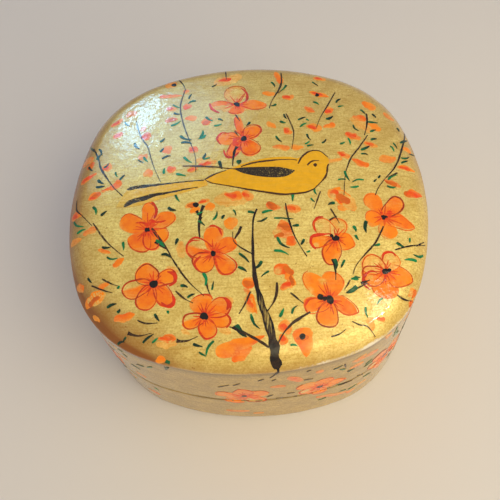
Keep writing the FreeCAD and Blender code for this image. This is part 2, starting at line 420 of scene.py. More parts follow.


# How dark the gold is made, from 0 to about 1: amber lacquer that ran down the flank all round and lies
# thicker at the rim, with painted shade on the flank facing SHADE_FACING, at the rim beside it and towards
# the back
THIN_LACQUER = 0.12
LEFT_FLANK_SHADE = 0.85
RIM_LACQUER_AND_SHADE = 0.5
BACK_SHADE = 0.27
LACQUER_RUN = 8 * MM
SHADE_FACING = math.radians(197)
RIM_POOL = 1.5 * MM
LEAST_AT_RIM = 0.6
# A painted highlight: a pale line along the front right of the arris, where the light catches it
HIGHLIGHT_FACING = math.radians(303)
HIGHLIGHT_SPREAD = math.radians(22)
HIGHLIGHT_BREADTH = 0.5 * MM
HIGHLIGHT_STRENGTH = 0.95
HIGHLIGHT_UNEVENNESS = 0.7
# Gold where it is bright, where it lies deeper and where the lacquer over it has aged, which also serves for
# painted shade. The walls' gold is a darker copy of the crown's, as painted shade on the sides
GOLD_ON_CROWN = ("#FAE286", "#C79D3C", "#98580A")
SHADED_GOLD_ON_WALLS = ("#DAB65A", "#98762E", "#665020")
crown_gold = lacquered_gold("brushed_gold_ground_on_crown", *GOLD_ON_CROWN, ACROSS_THE_LID)
# Painted shade: the walls take a darker copy of the crown's gold
shaded_wall_gold = lacquered_gold("brushed_gold_ground_on_walls_painted_darker", *SHADED_GOLD_ON_WALLS, ROUND_THE_WALL)
inside_black = black_lacquer()

shape = new_shape("facing", "lacquer_and_painted_shade", "arris_highlight")
lacquer = shape.verts.layers.float["lacquer_and_painted_shade"]
arris_turn = math.pi / 2 - math.atan(FLANK_SLOPE)
arris_inset = RIM_INSET + ARRIS_RADIUS * (1 - math.cos(arris_turn))
rim = pillow_net(shape, arris_inset, crown_height)
for vertex in shape.verts:
    depth = inset_at(vertex.co.x, vertex.co.y)
    run = min(max(1 - depth / LACQUER_RUN, 0), 1)
    # Painted shade: the flank that faces SHADE_FACING is darkened most, and the rim beside it too
    pooled = max(math.cos(math.atan2(vertex.co.y, vertex.co.x) - SHADE_FACING), 0) ** 2
    patchy = 1 + noise.noise(vertex.co / BROAD_UNEVENNESS)
    at_rim = min(max(1 - depth / RIM_POOL, 0), 1) * min(2 * pooled + LEAST_AT_RIM, 1)
    # Painted shade, darker towards the back
    back_shade = BACK_SHADE * min(max(vertex.co.y / half_depth + 0.1, 0), 1)
    flank_lacquer_and_shade = (THIN_LACQUER + LEFT_FLANK_SHADE * pooled) * run ** 1.2
    vertex[lacquer] = (flank_lacquer_and_shade + RIM_LACQUER_AND_SHADE * at_rim) * patchy + back_shade
arris_edge = outline_point(0, arris_inset)
arris_foot = crown_height(arris_edge.x, arris_edge.y) - ARRIS_RADIUS * math.sin(arris_turn)
stations = []
for step in range(ARRIS_STEPS - 1, -1, -1):
    turn = arris_turn * step / ARRIS_STEPS
    inset = RIM_INSET + ARRIS_RADIUS * (1 - math.cos(turn))
    stations.append((inset, arris_foot + ARRIS_RADIUS * math.sin(turn)))
lip = shoulder - CROWN_LIP
stations += [(RIM_INSET, lip), (BAND_THICKNESS, lip), (BAND_THICKNESS, shoulder)]
bridge_to_net(shape, walk_rim(shape, rim, stations), HOLLOW_INSET, hollow_height)
# A painted highlight along the front right of the arris
arris_highlight_line = shape.verts.layers.float["arris_highlight"]
for vertex in shape.verts:
    turned = math.atan2(vertex.co.y, vertex.co.x) % math.tau - HIGHLIGHT_FACING
    below = abs(vertex.co.z - arris_foot - ARRIS_RADIUS * math.sin(arris_turn / 2))
    broken = HIGHLIGHT_STRENGTH + HIGHLIGHT_UNEVENNESS * noise.noise(vertex.co / CLOSE_UNEVENNESS)
    vertex[arris_highlight_line] = broken * math.exp(-(turned / HIGHLIGHT_SPREAD) ** 2 - (below / HIGHLIGHT_BREADTH) ** 2)
    vertex.co = hand_rubbed(vertex.co)
bmesh.ops.recalc_face_normals(shape, faces=shape.faces[:])
mark_inside(shape, lambda inset, normal: inset > BAND_THICKNESS - RIM_INSET and normal.z < 0)
crown = finish_solid("lid_crown_gold", shape, [crown_gold, inside_black], "lid")
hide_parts("lid_crown")


# Lid band
# A strip of pasted paper board bent round to the outline, closed above by the crown and open below. Its
# lower edge is rubbed soft where it meets the base, and the gold runs over it to the black inside.
SEAM_GAP = 0.08 * MM
EDGE_ROUNDING = 0.45 * MM
EDGE_STEPS = 4
WALL_RISE = 1 * MM
SOILED_HEIGHT = 1.6 * MM
SHADED_HEIGHT = 3.2 * MM
# How dark the walls' gold is made: amber lacquer everywhere and beside the seam, and painted shade under the
# lid's arris
WALL_LACQUER = 0.1
SEAM_LACQUER = 0.75
UNDER_ARRIS_SHADE = 0.8


def rounded_edge(outer_inset, inner_inset, edge, wall_side):
    """Stations from the outer to the inner face round an edge at height edge; wall_side is 1 below it."""
    stations = []
    for centre, turn_from in ((outer_inset + EDGE_ROUNDING, 0), (inner_inset - EDGE_ROUNDING, 1)):
        for step in range(EDGE_STEPS + 1):
            turn = math.pi / 2 * (turn_from + step / EDGE_STEPS)
            height = edge - wall_side * EDGE_ROUNDING * (1 - math.sin(turn))
            stations.append((centre - EDGE_ROUNDING * math.cos(turn), height))
    return stations


def straight_wall(inset, start, end):
    """Stations up or down a wall, close enough together for its unevenness."""
    steps = max(1, round(abs(end - start) / WALL_RISE))
    return [(inset, start + (end - start) * step / steps) for step in range(steps + 1)]


def wall_ring(stations):
    """A closed ring through (inset, height) stations."""
    shape = new_shape("facing", "lacquer_and_painted_shade")
    facing = shape.verts.layers.float["facing"]
    inset, height = stations[0]
    for vertex in bmesh.ops.create_circle(shape, segments=LOOP_STEPS, radius=1)["verts"]:
        vertex[facing] = math.atan2(vertex.co.y, vertex.co.x)
        vertex.co = outline_point(vertex[facing], inset)
        vertex.co.z = height
    first_loop = shape.edges[:]
    last_loop = walk_rim(shape, first_loop, stations[1:])
    bmesh.ops.bridge_loops(shape, edges=first_loop + last_loop)
    lacquer = shape.verts.layers.float["lacquer_and_painted_shade"]
    for vertex in shape.verts:
        near_seam = min(max(1 - abs(vertex.co.z - seam) / SOILED_HEIGHT, 0), 1)
        under_lid = min(max(1 - (shoulder - vertex.co.z) / SHADED_HEIGHT, 0), 1)
        patchy = 0.8 + noise.noise(vertex.co / BROAD_UNEVENNESS * 2)
        # Painted shade under the lid's arris, on top of the lacquer everywhere and beside the seam
        vertex[lacquer] = WALL_LACQUER + SEAM_LACQUER * near_seam ** 2 * patchy + UNDER_ARRIS_SHADE * under_lid
        vertex.co = hand_rubbed(vertex.co)
    bmesh.ops.recalc_face_normals(shape, faces=shape.faces[:])
    return shape


band_foot = seam + SEAM_GAP
stations = straight_wall(RIM_INSET, lip, band_foot + EDGE_ROUNDING)
stations += rounded_edge(RIM_INSET, BAND_THICKNESS, band_foot, -1)
stations += straight_wall(BAND_THICKNESS, band_foot + EDGE_ROUNDING, lip)
shape = wall_ring(stations)
mark_inside(shape, lambda inset, normal: inset > BAND_THICKNESS - RIM_INSET)
band = finish_solid("lid_band_gold", shape, [shaded_wall_gold, inside_black], "lid")
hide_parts("lid_band")


# Inner collar
# A thinner strip glued inside the base and standing proud of it, which the lid slides over. It is black
# lacquer all over, with its upper edge rounded so that the lid finds it.
collar_low, collar_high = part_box("inner_collar")
COLLAR_THICKNESS = 1.3 * MM
collar_inset = half_width - collar_high.x + RIM_INSET / 2
collar_inner = collar_inset + COLLAR_THICKNESS
stations = straight_wall(collar_inset, collar_low.z, collar_high.z - EDGE_ROUNDING)
stations += rounded_edge(collar_inset, collar_inner, collar_high.z, 1)
stations += straight_wall(collar_inner, collar_high.z - EDGE_ROUNDING, collar_low.z)
collar = finish_solid("inner_collar_black", wall_ring(stations), [inside_black], "base")
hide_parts("inner_collar")


# Base wall
# The lower strip of board, bent round like the lid's and glued on the floor. Its rim is rubbed soft, and
# the painted gold ground covers it down to the floor's edge.
floor_low, floor_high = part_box("base_floor")
BASE_THICKNESS = 2.3 * MM
base_rim = seam - SEAM_GAP
stations = straight_wall(RIM_INSET, floor_high.z, base_rim - EDGE_ROUNDING)
stations += rounded_edge(RIM_INSET, BASE_THICKNESS, base_rim, 1)
stations += straight_wall(BASE_THICKNESS, base_rim - EDGE_ROUNDING, floor_high.z)
shape = wall_ring(stations)
mark_inside(shape, lambda inset, normal: inset > BASE_THICKNESS - RIM_INSET)
base = finish_solid("base_wall_gold", shape, [shaded_wall_gold, inside_black], "base")
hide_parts("base_wall")


# Base floor
# A pressed board cut to the outline, under the wall, with its lower edge rubbed round where the box
# stands. The gold runs just round that edge, and the board is black lacquer above and beneath.
FOOT_RADIUS = 1 * MM
FOOT_STEPS = 6
BOARD_MARGIN = 1 * MM
shape = new_shape("facing", "lacquer_and_painted_shade")
rim = pillow_net(shape, RIM_INSET + FOOT_RADIUS, lambda x, y: floor_low.z)
stations = []
for step in range(1, FOOT_STEPS + 1):
    turn = math.pi / 2 * step / FOOT_STEPS
    stations.append((RIM_INSET + FOOT_RADIUS * (1 - math.sin(turn)), FOOT_RADIUS * (1 - math.cos(turn))))
stations += [(RIM_INSET, floor_high.z), (BASE_THICKNESS, floor_high.z)]
bridge_to_net(shape, walk_rim(shape, rim, stations), BASE_THICKNESS + BOARD_MARGIN, lambda x, y: floor_high.z)
for vertex in shape.verts:
    vertex.co = hand_rubbed(vertex.co)
bmesh.ops.recalc_face_normals(shape, faces=shape.faces[:])
mark_inside(shape, lambda inset, normal: inset > RIM_INSET + FOOT_RADIUS)
board = finish_solid("base_floor_gold", shape, [shaded_wall_gold, inside_black], "base")
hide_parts("base_floor")


# Branches
# The painter's first work on the gold: a dark brown trunk from the front edge and thin stems, drawn
# freehand with a squirrel hair brush. Each goes through places read off the photograph.
BRUSH_STEP = 0.4 * MM
WOBBLE_SIZE = 0.9 * MM
WOBBLE_SHARE = 0.5
TIP_MERGE = 0.004 * MM
POOL_SIZE = 1.4 * MM
PAINT_THICKNESS = 0.05 * MM
PAINT_RELIEF = 0.03 * MM
PAINT_ROUGHNESS = 0.5
OVERLAP_LIFT = 0.0012 * MM
OVERLAP_TURNS = 8
BRANCH_LIFT = 0.068 * MM
STEM_WIDTH = 0.3 * MM
BRANCH_WIDTH = 0.55 * MM
AIMING_SHARE = 0.05
HEAVY_WASH = 1.6
SOLID_WASH = 1.5
SORTING_WAY = Vector((1, 7, 49))
PAINTING_SEED = 11

box_shape = bmesh.new()
box_shape.from_mesh(crown.data)
box_shape.from_mesh(band.data)
box_shape.from_mesh(base.data)
bmesh.ops.triangulate(box_shape, faces=box_shape.faces[:], quad_method="SHORT_EDGE")
# Faces come in a different order each run, and where two are equally near the first one counts
box_shape.faces.sort(key=lambda face: face.calc_center_median().dot(SORTING_WAY))
ground = BVHTree.FromBMesh(box_shape)
box_shape.free()
hand = random.Random(PAINTING_SEED)


def seen_on_box(pixel):
    """Where the line of sight through a pixel of the photograph meets the box."""
    place = ground.ray_cast(eye, sight(pixel))[0]
    if place is None:
        raise ValueError(f"the box isn't seen at pixel {pixel}")
    return place


def route_on_box(pixels):
    """The places on the box that a line through pixels of the photograph passes."""
    return [seen_on_box(pixel) for pixel in pixels]


def eased(places):
    """A smooth line through places, with a point for about each brush step of its length."""
    line = [places[0]]
    last = len(places) - 1
    for index in range(last):
        start = places[index]
        end = places[index + 1]
        before = places[max(index - 1, 0)]
        after = places[min(index + 2, last)]
        count = max(3, round((end - start).length / BRUSH_STEP) + 1)
        line += geometry.interpolate_bezier(
            start, start + (end - before) / 6, end - (after - start) / 6, end, count)[1:]
    return line


def along_line(line, share):
    """The place that lies a share of the way along a line of places."""
    position = share * (len(line) - 1)
    index = min(int(position), len(line) - 2)
    return line[index].lerp(line[index + 1], position - index)


def lay_paint(shape, near, far, columns, lift, wash, tint):
    """Lays paint on the ground between two lines of places. wash(along, over) is how thickly."""
    wash_layer = shape.verts.layers.float["wash"]
    tint_layer = shape.verts.layers.float["tint"]
    rows = len(near) - 1
    lift += OVERLAP_LIFT * hand.randrange(OVERLAP_TURNS)
    patch = bmesh.ops.create_grid(shape, x_segments=rows, y_segments=columns, size=1)["verts"]
    for vertex in patch:
        along = (vertex.co.x + 1) / 2
        over = (vertex.co.y + 1) / 2
        row = round(along * rows)
        place, normal = ground.find_nearest(near[row].lerp(far[row], over))[:2]
        vertex.co = place + normal * lift
        vertex[wash_layer] = wash(along, over)
        vertex[tint_layer] = tint(along, over) if callable(tint) else tint
    bmesh.ops.remove_doubles(shape, verts=patch, dist=TIP_MERGE)


def stroke_edges(line, width, profile, steps, ragged=0):
    """Both edges of an unsteady brush stroke along a line, with its points crowded at its ends."""
    near = []
    far = []
    for step in range(steps + 1):
        share = 0.5 - 0.5 * math.cos(math.pi * step / steps)
        place = along_line(line, share)
        behind = along_line(line, max(share - AIMING_SHARE, 0))
        run = along_line(line, min(share + AIMING_SHARE, 1)) - behind
        side = ground.find_nearest(place)[1].cross(run).normalized() * width * profile(share) / 2
        wobble = noise.noise_vector(place / max(WOBBLE_SIZE, width)) * WOBBLE_SHARE
        wobble += noise.noise_vector(place / WOBBLE_SIZE) * ragged
        near.append(place - side * (1 + wobble.x))
        far.append(place + side * (1 + wobble.y))
    return near, far


def full(along, over):
    """An even coat of paint."""
    return 1


def line_profile(share):
    """A drawn line: fine where the brush lands, fullest a third along, fine again where it lifts."""
    return 0.45 + 0.55 * math.sin(math.pi * min(share * 1.2 + 0.1, 1))


def brush_line(shape, places, width, lift, profile=line_profile, columns=1, wash=full, tint=0.5,
               ragged=0):
    """Draws a brush stroke along a smooth line through places."""
    line = eased(places)
    near, far = stroke_edges(line, width, profile, max(4, len(line)), ragged)
    lay_paint(shape, near, far, columns, lift, wash, tint)


def new_paint():
    """A bmesh for painted work, with how thick and how strong the colour is at each point."""
    return new_shape("wash", "tint")


def finish_paint(name, shape, material, bodies=("lid",)):
    """Cuts painted work at the seam and gives each body its part, as a thin closed film of paint."""
    facing_in = [face for face in shape.faces
                 if face.normal.dot(ground.find_nearest(face.calc_center_median())[1]) < 0]
    bmesh.ops.reverse_faces(shape, faces=facing_in)
    for edge in shape.edges:
        edge.smooth = not edge.is_boundary
    for body in bodies:
        part = shape.copy()
        above = body == "lid"
        cut = seam + SEAM_GAP if above else seam - SEAM_GAP
        bmesh.ops.bisect_plane(
            part, geom=part.verts[:] + part.edges[:] + part.faces[:], plane_co=(0, 0, cut),
            plane_no=(0, 0, 1), clear_inner=above, clear_outer=not above)
        if not part.faces:
            part.free()
            continue
        piece = finish_piece(f"{body}_{name}", part, [material], body)
        film = piece.modifiers.new("film", "SOLIDIFY")
        film.thickness = PAINT_THICKNESS
        film.offset = -1
    shape.free()


def lacquered_paint(name, pale, strong, coverage, stretch=ACROSS_THE_LID, below=GOLD_ON_CROWN,
                    shine=GOLD_METALLIC):
    """Tempera ground fine in gum, which pools and thins out over the gold, under the same clear lacquer.

    Where a stroke's wash is below one, the gold or paint below shows through in the brush's own grain.
    Coverage is how sharply it does so: little in a wet wash, much where a nearly dry brush has dragged.
    """
    material, surface = new_material(name)
    tree = material.node_tree
    gold, grain, streak = gold_colour(tree, *below, stretch)
    pool = noise_pattern(tree, object_place(tree), POOL_SIZE, 3)
    pooled = reckoned(tree, "MULTIPLY_ADD", grain, 0.4, pool)
    pooled = reckoned(tree, "SUBTRACT", pooled, 0.7)
    pooled = reckoned(tree, "MULTIPLY_ADD", pooled, 1.3, point_value(tree, "tint"), use_clamp=True)
    paint = mixed(tree, pooled, from_hex(pale), from_hex(strong))
    uneven = reckoned(tree, "SUBTRACT", streak, 0.5)
    cover = reckoned(tree, "MULTIPLY_ADD", uneven, coverage, point_value(tree, "wash"), use_clamp=True)
    relief(tree, surface, grain, 0.25, PAINT_RELIEF)
    tree.links.new(mixed(tree, cover, gold, paint), surface.inputs["Base Color"])
    tree.links.new(rescaled(tree, cover, (0, 1), (shine, 0)), surface.inputs["Metallic"])
    surface.inputs["Roughness"].default_value = PAINT_ROUGHNESS
    surface.inputs["Specular IOR Level"].default_value = 0
    clear_lacquer(tree, surface)
    return material


TRUNK = [(277, 369), (275.7, 359), (273.2, 345), (270.6, 331), (266.1, 315.7), (261.7, 303), (256.6, 286.3),
         (253.4, 264.6), (252.8, 245.5), (253.4, 220), (257, 209)]
TRUNK_WIDTH = 1.85 * MM
TRUNK_COLUMNS = 8
DRY_BRUSH_WASH = 0.45
ROOTS = {
    "right root": [(279, 360), (282, 365)],
    "left root": [(277, 367), (278.3, 371.8), (273, 376), (270, 378)],
}
BRANCHES = {
    "low right": [(310.2, 311.8), (300, 318.2), (291, 324.6), (283.4, 333.5), (278.3, 343)],
    "low left": [(269, 347.5), (260, 341.2), (246.2, 333.5), (238.6, 329), (229.6, 327)],
    "short fork": [(277, 282.5), (276.4, 294), (273.2, 303), (267.4, 311.2)],
    "over the tail blossom": [(151.8, 228.4), (165.9, 247.5), (172.2, 259)],
}
STEMS = {
    "to the middle blossom": [(252, 254), (238.6, 246), (233.5, 240.5), (232.8, 232)],
    "twig over the middle blossom": [(234.7, 239), (241, 227.7)],
    "left sweep": [(172, 258.6), (187, 280), (204, 296)],
    "left of the low blossom": [(175.5, 291), (185, 299), (193, 303)],
    "down from the middle blossom": [(206, 275), (207, 286), (211, 297)],
    "under the bird": [(202, 213), (200.3, 219.4), (199.7, 228.4), (200.3, 237.3)],
    "right fork": [(367.6, 283), (358, 288), (347.8, 293.3)],
    "right blossom's drop": [(333.8, 259.5), (335.7, 271), (335.7, 280)],
    "far right sweep": [(383.5, 226.4), (375.2, 243), (365, 254.4), (356, 265.9), (352.9, 274.8)],
    "far right sweep, low": [(350.3, 280), (344.6, 289.5)],
    "left of the trunk": [(250.7, 291.4), (245, 304), (239, 314)],
    "right of the trunk": [(290.4, 292.7), (297, 298), (303.8, 303.5)],
    "low right sprig": [(352.2, 321.4), (360, 325.2), (367.6, 326.5), (375.2, 336.7)],
    "low right twig": [(331.2, 336.7), (339.5, 334.2), (346, 329)],
    "below the throat": [(320.4, 191.4), (317.8, 199), (314, 209.2)],
    "right of the throat": [(330.6, 208.6), (335.7, 217), (339.5, 223.3)],
    "top of the right blossom": [(329, 220.5), (337, 216)],
    "right edge curl": [(397, 295), (405, 300), (412, 301)],
    "right edge twig": [(395, 250), (404.5, 247.2), (425, 245.6)],
    "right edge fork": [(396.9, 242.4), (404.5, 247.2)],
    "right edge tip": [(416, 246.2), (423.7, 242.4)],
    "middle right": [(285.5, 203), (287.5, 214), (292, 230), (299, 244), (307, 256.5)],
    "left edge low": [(91.6, 285.8), (104, 290.6), (112.6, 293)],
    "left edge low fork": [(102.1, 279), (111.7, 284), (119.3, 286.3)],
    "left edge": [(77, 201), (77, 210.5), (82, 215.6), (92, 225.8)],
    "left edge, low": [(93.2, 223.3), (102, 236), (111, 246.2), (123.8, 256.4)],
    "left shoulder": [(94, 149), (98.3, 158.2), (100.8, 168.4), (107.2, 178.6), (114.8, 188.8),
                      (127.6, 200.3)],
    "back left": [(185.6, 89.3), (182.4, 98.3), (180.5, 107.2), (181.8, 117.4), (185, 129),
                  (190, 141.6), (194, 151.8), (195.8, 160), (195.8, 172.2)],
    "back left tip": [(179, 80.5), (184, 86), (185.6, 91)],
    "back far left": [(136.5, 121.2), (139, 131.4), (143, 140.4), (148, 147), (150.6, 157),
                      (154.4, 168.4), (160.8, 182.4)],
    "back middle": [(280.8, 73), (281.5, 81.7), (278.3, 90.6), (272, 100.8), (269.3, 108.5)],
    "back middle fork": [(287.2, 85.5), (278.3, 93.2)],
    "back right of middle": [(335, 92.5), (326.7, 107.2), (320.4, 117.4), (316.5, 127.6)],
    "back low middle": [(286, 113.6), (289.7, 121.2), (293.6, 131.4), (293, 141.6), (291.7, 149.3)],
    "back right": [(366.3, 113.6), (367, 123.8), (364.4, 135.3)],
    "back right, low": [(367.6, 135.3), (358.6, 148), (351, 158.2), (346, 171), (344.6, 182.4),
                        (344, 195.2)],
    "back far right": [(404.5, 134), (402, 148), (395.6, 166), (384, 180), (378.4, 187.6),
                       (375.2, 195.2)],
    "back far right fork": [(397.5, 173), (388, 177.3)],
    "low left curve": [(137.5, 320.3), (146, 323.6), (157.6, 323)],
    "low left rim": [(129, 333.2), (138.4, 336), (151.8, 333.2)],
    "low middle curve": [(176.7, 341.3), (186.3, 341.3), (197.8, 336.5)],
    "first stroke over the bird's blossom": [(235.4, 114.8), (239.8, 121.2)],
    "second stroke over the bird's blossom": [(234.7, 131.4), (238.6, 136.5)],
    "bud at the back": [(225.8, 72), (226.4, 80)],
}

PRESSED_STEMS = {
    "over the bird's blossom": [(237.3, 146.7), (234, 153), (232.6, 166)],
    "under the bird": [(203.8, 205.5), (201, 212), (200.4, 219)],
    "under the bird, knot": [(196.5, 211), (200, 216), (201, 221)],
    "twig over the middle blossom": [(241.3, 226.5), (239, 232), (234.7, 239)],
    "over the tail blossom": [(155.5, 241.5), (160, 245), (166, 249)],
    "right blossom's stem": [(333, 259), (334, 264), (336, 274)],
    "right fork": [(361, 283.5), (366, 281.5), (370, 280)],
    "low branch": [(233, 327), (238, 330.5), (246, 335)],
    "under the bird, low": [(200.6, 217), (199, 225), (199.6, 238)],
    "foot of the trunk": [(273, 352), (275, 359), (277.5, 366)],
    "low left curve": [(128, 333), (134, 335.5), (142, 336)],
    "low middle curve": [(176.5, 341), (183, 341.5), (190, 340)],
}
PRESSED_WIDTH = 0.72 * MM

branch_brown = lacquered_paint("brown_black_tempera", "#181008", "#54381A", 2.2,
                               (1 / BRUSH_WIDTH, 1 / BRUSH_LENGTH, 1 / BRUSH_WIDTH))
shape = new_paint()


def heavy(along, over):
    """Paint laid on so thick that no gold shows through the brush's grain."""
    return HEAVY_WASH


def trunk_width(share):
    """The trunk: as thick as its foot for a little way, then thinner as far as its top twig."""
    return (0.15 + 0.85 / (1 + (share / 0.42) ** 3.6)) * min(1, 0.4 + share / 0.07)


def pressed_profile(share):
    """A stem begun with the brush pressed down, which thins out from there."""
    return 1.1 - 0.85 * share ** 0.7


def dragged(along, over):
    """The trunk's paint: solid at the foot and the edges, dragged dry down its middle above that."""
    dry = max(0, 1 - abs(along - 0.37) / 0.13) * (1 - abs(2 * over - 0.9) ** 2)
    return SOLID_WASH - (SOLID_WASH - DRY_BRUSH_WASH) * max(dry, 0)


def thin_stem(along, over):
    """A stem's paint, which breaks up into brown and gold grains where the brush runs dry."""
    return 1.25 - 0.15 * along


brush_line(shape, route_on_box(TRUNK), TRUNK_WIDTH, BRANCH_LIFT, trunk_width, TRUNK_COLUMNS, dragged, 0.15)
for route in ROOTS.values():
    brush_line(shape, route_on_box(route), BRANCH_WIDTH, BRANCH_LIFT, wash=heavy, tint=0.15)
for route in BRANCHES.values():
    brush_line(shape, route_on_box(route), BRANCH_WIDTH, BRANCH_LIFT, wash=heavy)
for route in STEMS.values():
    brush_line(shape, route_on_box(route), STEM_WIDTH * hand.uniform(0.95, 1.4), BRANCH_LIFT,
               wash=thin_stem, tint=hand.uniform(0.2, 0.8))
for route in PRESSED_STEMS.values():
    brush_line(shape, route_on_box(route), PRESSED_WIDTH, BRANCH_LIFT, pressed_profile, 3, heavy, 0.2)
finish_paint("branches", shape, branch_brown)


# Blossoms
# Five petals each, washed in with thin orange tempera, so that some gold shows through, then outlined
# and veined in red and given a black heart. Each petal is given by its tip, its breadth and its finish.
PETAL_LIFT = 0.035 * MM
OUTLINE_LIFT = 0.062 * MM
HEART_LIFT = 0.08 * MM
OUTLINE_WIDTH = 0.32 * MM
VEIN_WIDTH = 0.42 * MM
HEART_SIZE = 1.6 * MM
BREADTH_SHARE = 1.1
PETAL_COLUMNS = 6
PETAL_STEPS = 20
ROOT_SHARE = 0.05
MISREGISTRATION = 0.32 * MM
RAGGEDNESS = 0.55
BLOSSOMS = {
    "above the bird, back": {
        "heart": (236.7, 104.9, 7.5),
        "top": (236, 87, 21, "thin"),
        "left": (210, 106, 11, "loose"),
        "right": (266, 105, 11, "loose"),
        "bottom": (238.6, 114, 15, "loose"),
    },
    "above the bird": {
        "heart": (243.7, 138.7, 7),
        "top": (236.5, 117, 7, "loose"),
        "upper right": (259.5, 127.6, 15, "outlined"),
        "lower right": (254.2, 155.5, 17, "outlined"),
        "lower left": (227.5, 156, 15, "loose"),
        "left": (217.1, 139.1, 14, "loose"),
    },
    "left": {
        "heart": (147.4, 229.9, 6.5),
        "top": (149.3, 201.6, 14, "loose"),
        "upper right": (175.4, 215, 17, "loose"),
        "lower right": (167.8, 238.6, 15, "loose"),
        "bottom": (157.6, 249.4, 14, "outlined"),
        "lower left": (132.7, 248.8, 19, "plain"),
        "left": (120.6, 220.1, 16, "loose"),
    },
    "middle": {
        "heart": (213.1, 253.5, 6.5),
        "top": (211.2, 227.5, 18, "loose"),
        "upper right": (235.7, 240, 17, "loose"),
        "lower right": (231.5, 272.3, 18, "outlined"),
        "lower left": (197.1, 270, 20, "outlined"),
        "left": (185.5, 247.5, 17, "half"),
    },
    "low left": {
        "heart": (153.7, 283.4, 8.8),
        "top": (142.7, 264, 19, "outlined"),
        "upper right": (175.5, 274, 15, "outlined"),
        "lower right": (171.5, 305, 15, "outlined"),
        "bottom": (141.6, 309.3, 17, "outlined"),
        "left": (122.5, 291, 16, "half"),
    },
    "low middle": {
        "heart": (204.5, 316.3, 9),
        "top": (200.3, 295, 17, "loose"),
        "upper right": (229.5, 303, 16, "outlined"),
        "lower right": (229.3, 323, 16, "loose"),
        "bottom": (208, 338, 15, "outlined"),
        "left": (181.8, 324.6, 16, "half"),
    },
    "upper right": {
        "heart": (383.5, 217.5, 5.5),
        "upper left": (367.6, 193.5, 16, "loose"),
        "upper right": (400.1, 197.8, 16, "outlined"),
        "right": (414.7, 227.1, 17, "pointed"),
        "bottom": (391.8, 238.6, 15, "loose"),
        "left": (365.6, 219.2, 16, "loose"),
    },
    "right of the middle": {
        "heart": (335.5, 238, 8),
        "upper left": (315.3, 219.4, 16, "bare"),
        "top right": (342, 218.8, 15, "thin"),
        "right": (355.4, 245, 18, "pointed"),
        "bottom": (328, 264.6, 16, "outlined"),
        "left": (310.8, 242.4, 16, "outlined"),
    },
    "low right": {
        "heart": (330, 299.7, 9.5),
        "upper left": (305.1, 273.6, 17, "loose"),
        "top right": (331.3, 272, 21, "loose"),
        "right": (357.1, 312.1, 18, "pointed"),
        "bottom": (329.3, 326.1, 20, "outlined"),
        "left": (304.1, 308, 17, "plain"),
    },
    "right": {
        "heart": (385.4, 271.7, 7),
        "top": (390.5, 251.3, 18, "thin"),
        "upper left": (363.1, 257, 17, "thin"),
        "left": (363.1, 280, 18, "outlined"),
        "bottom": (388.5, 299.1, 22, "loose"),
        "right": (412.8, 280.6, 24, "pointed"),
    },
}
# Smaller blobs, each given by its pixel and its breadth: black beside the hearts, and red round them
SECOND_HEARTS = {
    "low right, beside": (320.4, 297.2, 6.5),
    "low right, between": (325, 298.8, 5),
    "right of the middle, beside": (331.8, 236.2, 4.5),
    "right, beside": (389, 270.5, 4.5),
    "upper right, beside": (386, 217, 4),
}
RED_PATCHES = {
    "left blossom": (151.8, 223, 8),
    "left blossom, beside": (146.5, 224.5, 5),
    "upper right blossom": (389.9, 214.3, 8),
    "above the bird": (235.7, 142.5, 9),
    "above the bird, below": (238, 148.5, 6),
    "middle blossom": (219, 251.5, 5),
}
# The petal edges that show plainest, each given by its breadth and its route
RED_ARCS = {
    "low left, upper right": (3.6, [(167.1, 271.7), (172.5, 273), (175.6, 277.5), (174.3, 282.9),
                                    (168.9, 286.4)]),
    "low left, lower right": (3.8, [(172.5, 294.8), (174.5, 300.5), (171.8, 305.5), (166.3, 306.4),
                                    (160.9, 302.5)]),
    "low middle, upper right": (3.8, [(223.4, 297.5), (227.5, 300.5), (228.8, 305), (226.5, 310)]),
    "low middle, lower right": (2.5, [(225.2, 313.2), (229.8, 317.7), (230.3, 323), (226.1, 328)]),
    "middle, top": (2.2, [(209.1, 226.6), (213.6, 225.3), (219.1, 228.8), (221.8, 235.5)]),
    "middle, left": (1.9, [(200.2, 240.9), (192.1, 240.7), (186.8, 245.4), (187.7, 253.4),
                           (193.9, 260.5)]),
    "middle, lower left": (2.6, [(201, 256), (194.4, 263), (195.5, 267.5), (199, 271)]),
    "left, top": (3, [(151.5, 202), (155.5, 206), (156.5, 212), (154, 219)]),
    "left, heart's left": (2, [(147.5, 224), (142, 222.6), (135.5, 223)]),
    "left, heart's right": (2, [(154, 222), (160, 222.3), (166, 220.5)]),
    "right of the middle, upper left": (2.8, [(323.5, 217), (316.5, 218.3), (313.3, 224.6),
                                              (315.9, 231)]),
    "right of the middle, left": (3, [(327.3, 234.2), (317.8, 234.2), (311.2, 237.4), (311.2, 243.8),
                                      (316, 249.5)]),
    "right, left": (3, [(377, 272.5), (370.1, 271.2), (363.5, 276.9), (364.2, 284.6), (370.7, 290)]),
    "right, top": (2.2, [(382.2, 260.4), (384.1, 254), (391.8, 252.1), (395.6, 256.5)]),
    "low right, left": (2.4, [(318.1, 298), (308.9, 299.3), (305.1, 306.3)]),
    "back blossom, top": (2, [(240.7, 88.1), (247, 93.7), (246.3, 100.7), (240.7, 103.5)]),
    "back blossom, left": (2.8, [(209.8, 103.2), (211.4, 108.6), (219.6, 113)]),
    "above the bird, left": (1.9, [(229, 134), (222, 133), (216.8, 138.6), (221, 145.2)]),
    "above the bird, lower left": (2.3, [(223.9, 149.8), (226.2, 156.6), (233.7, 157), (239, 152)]),
}
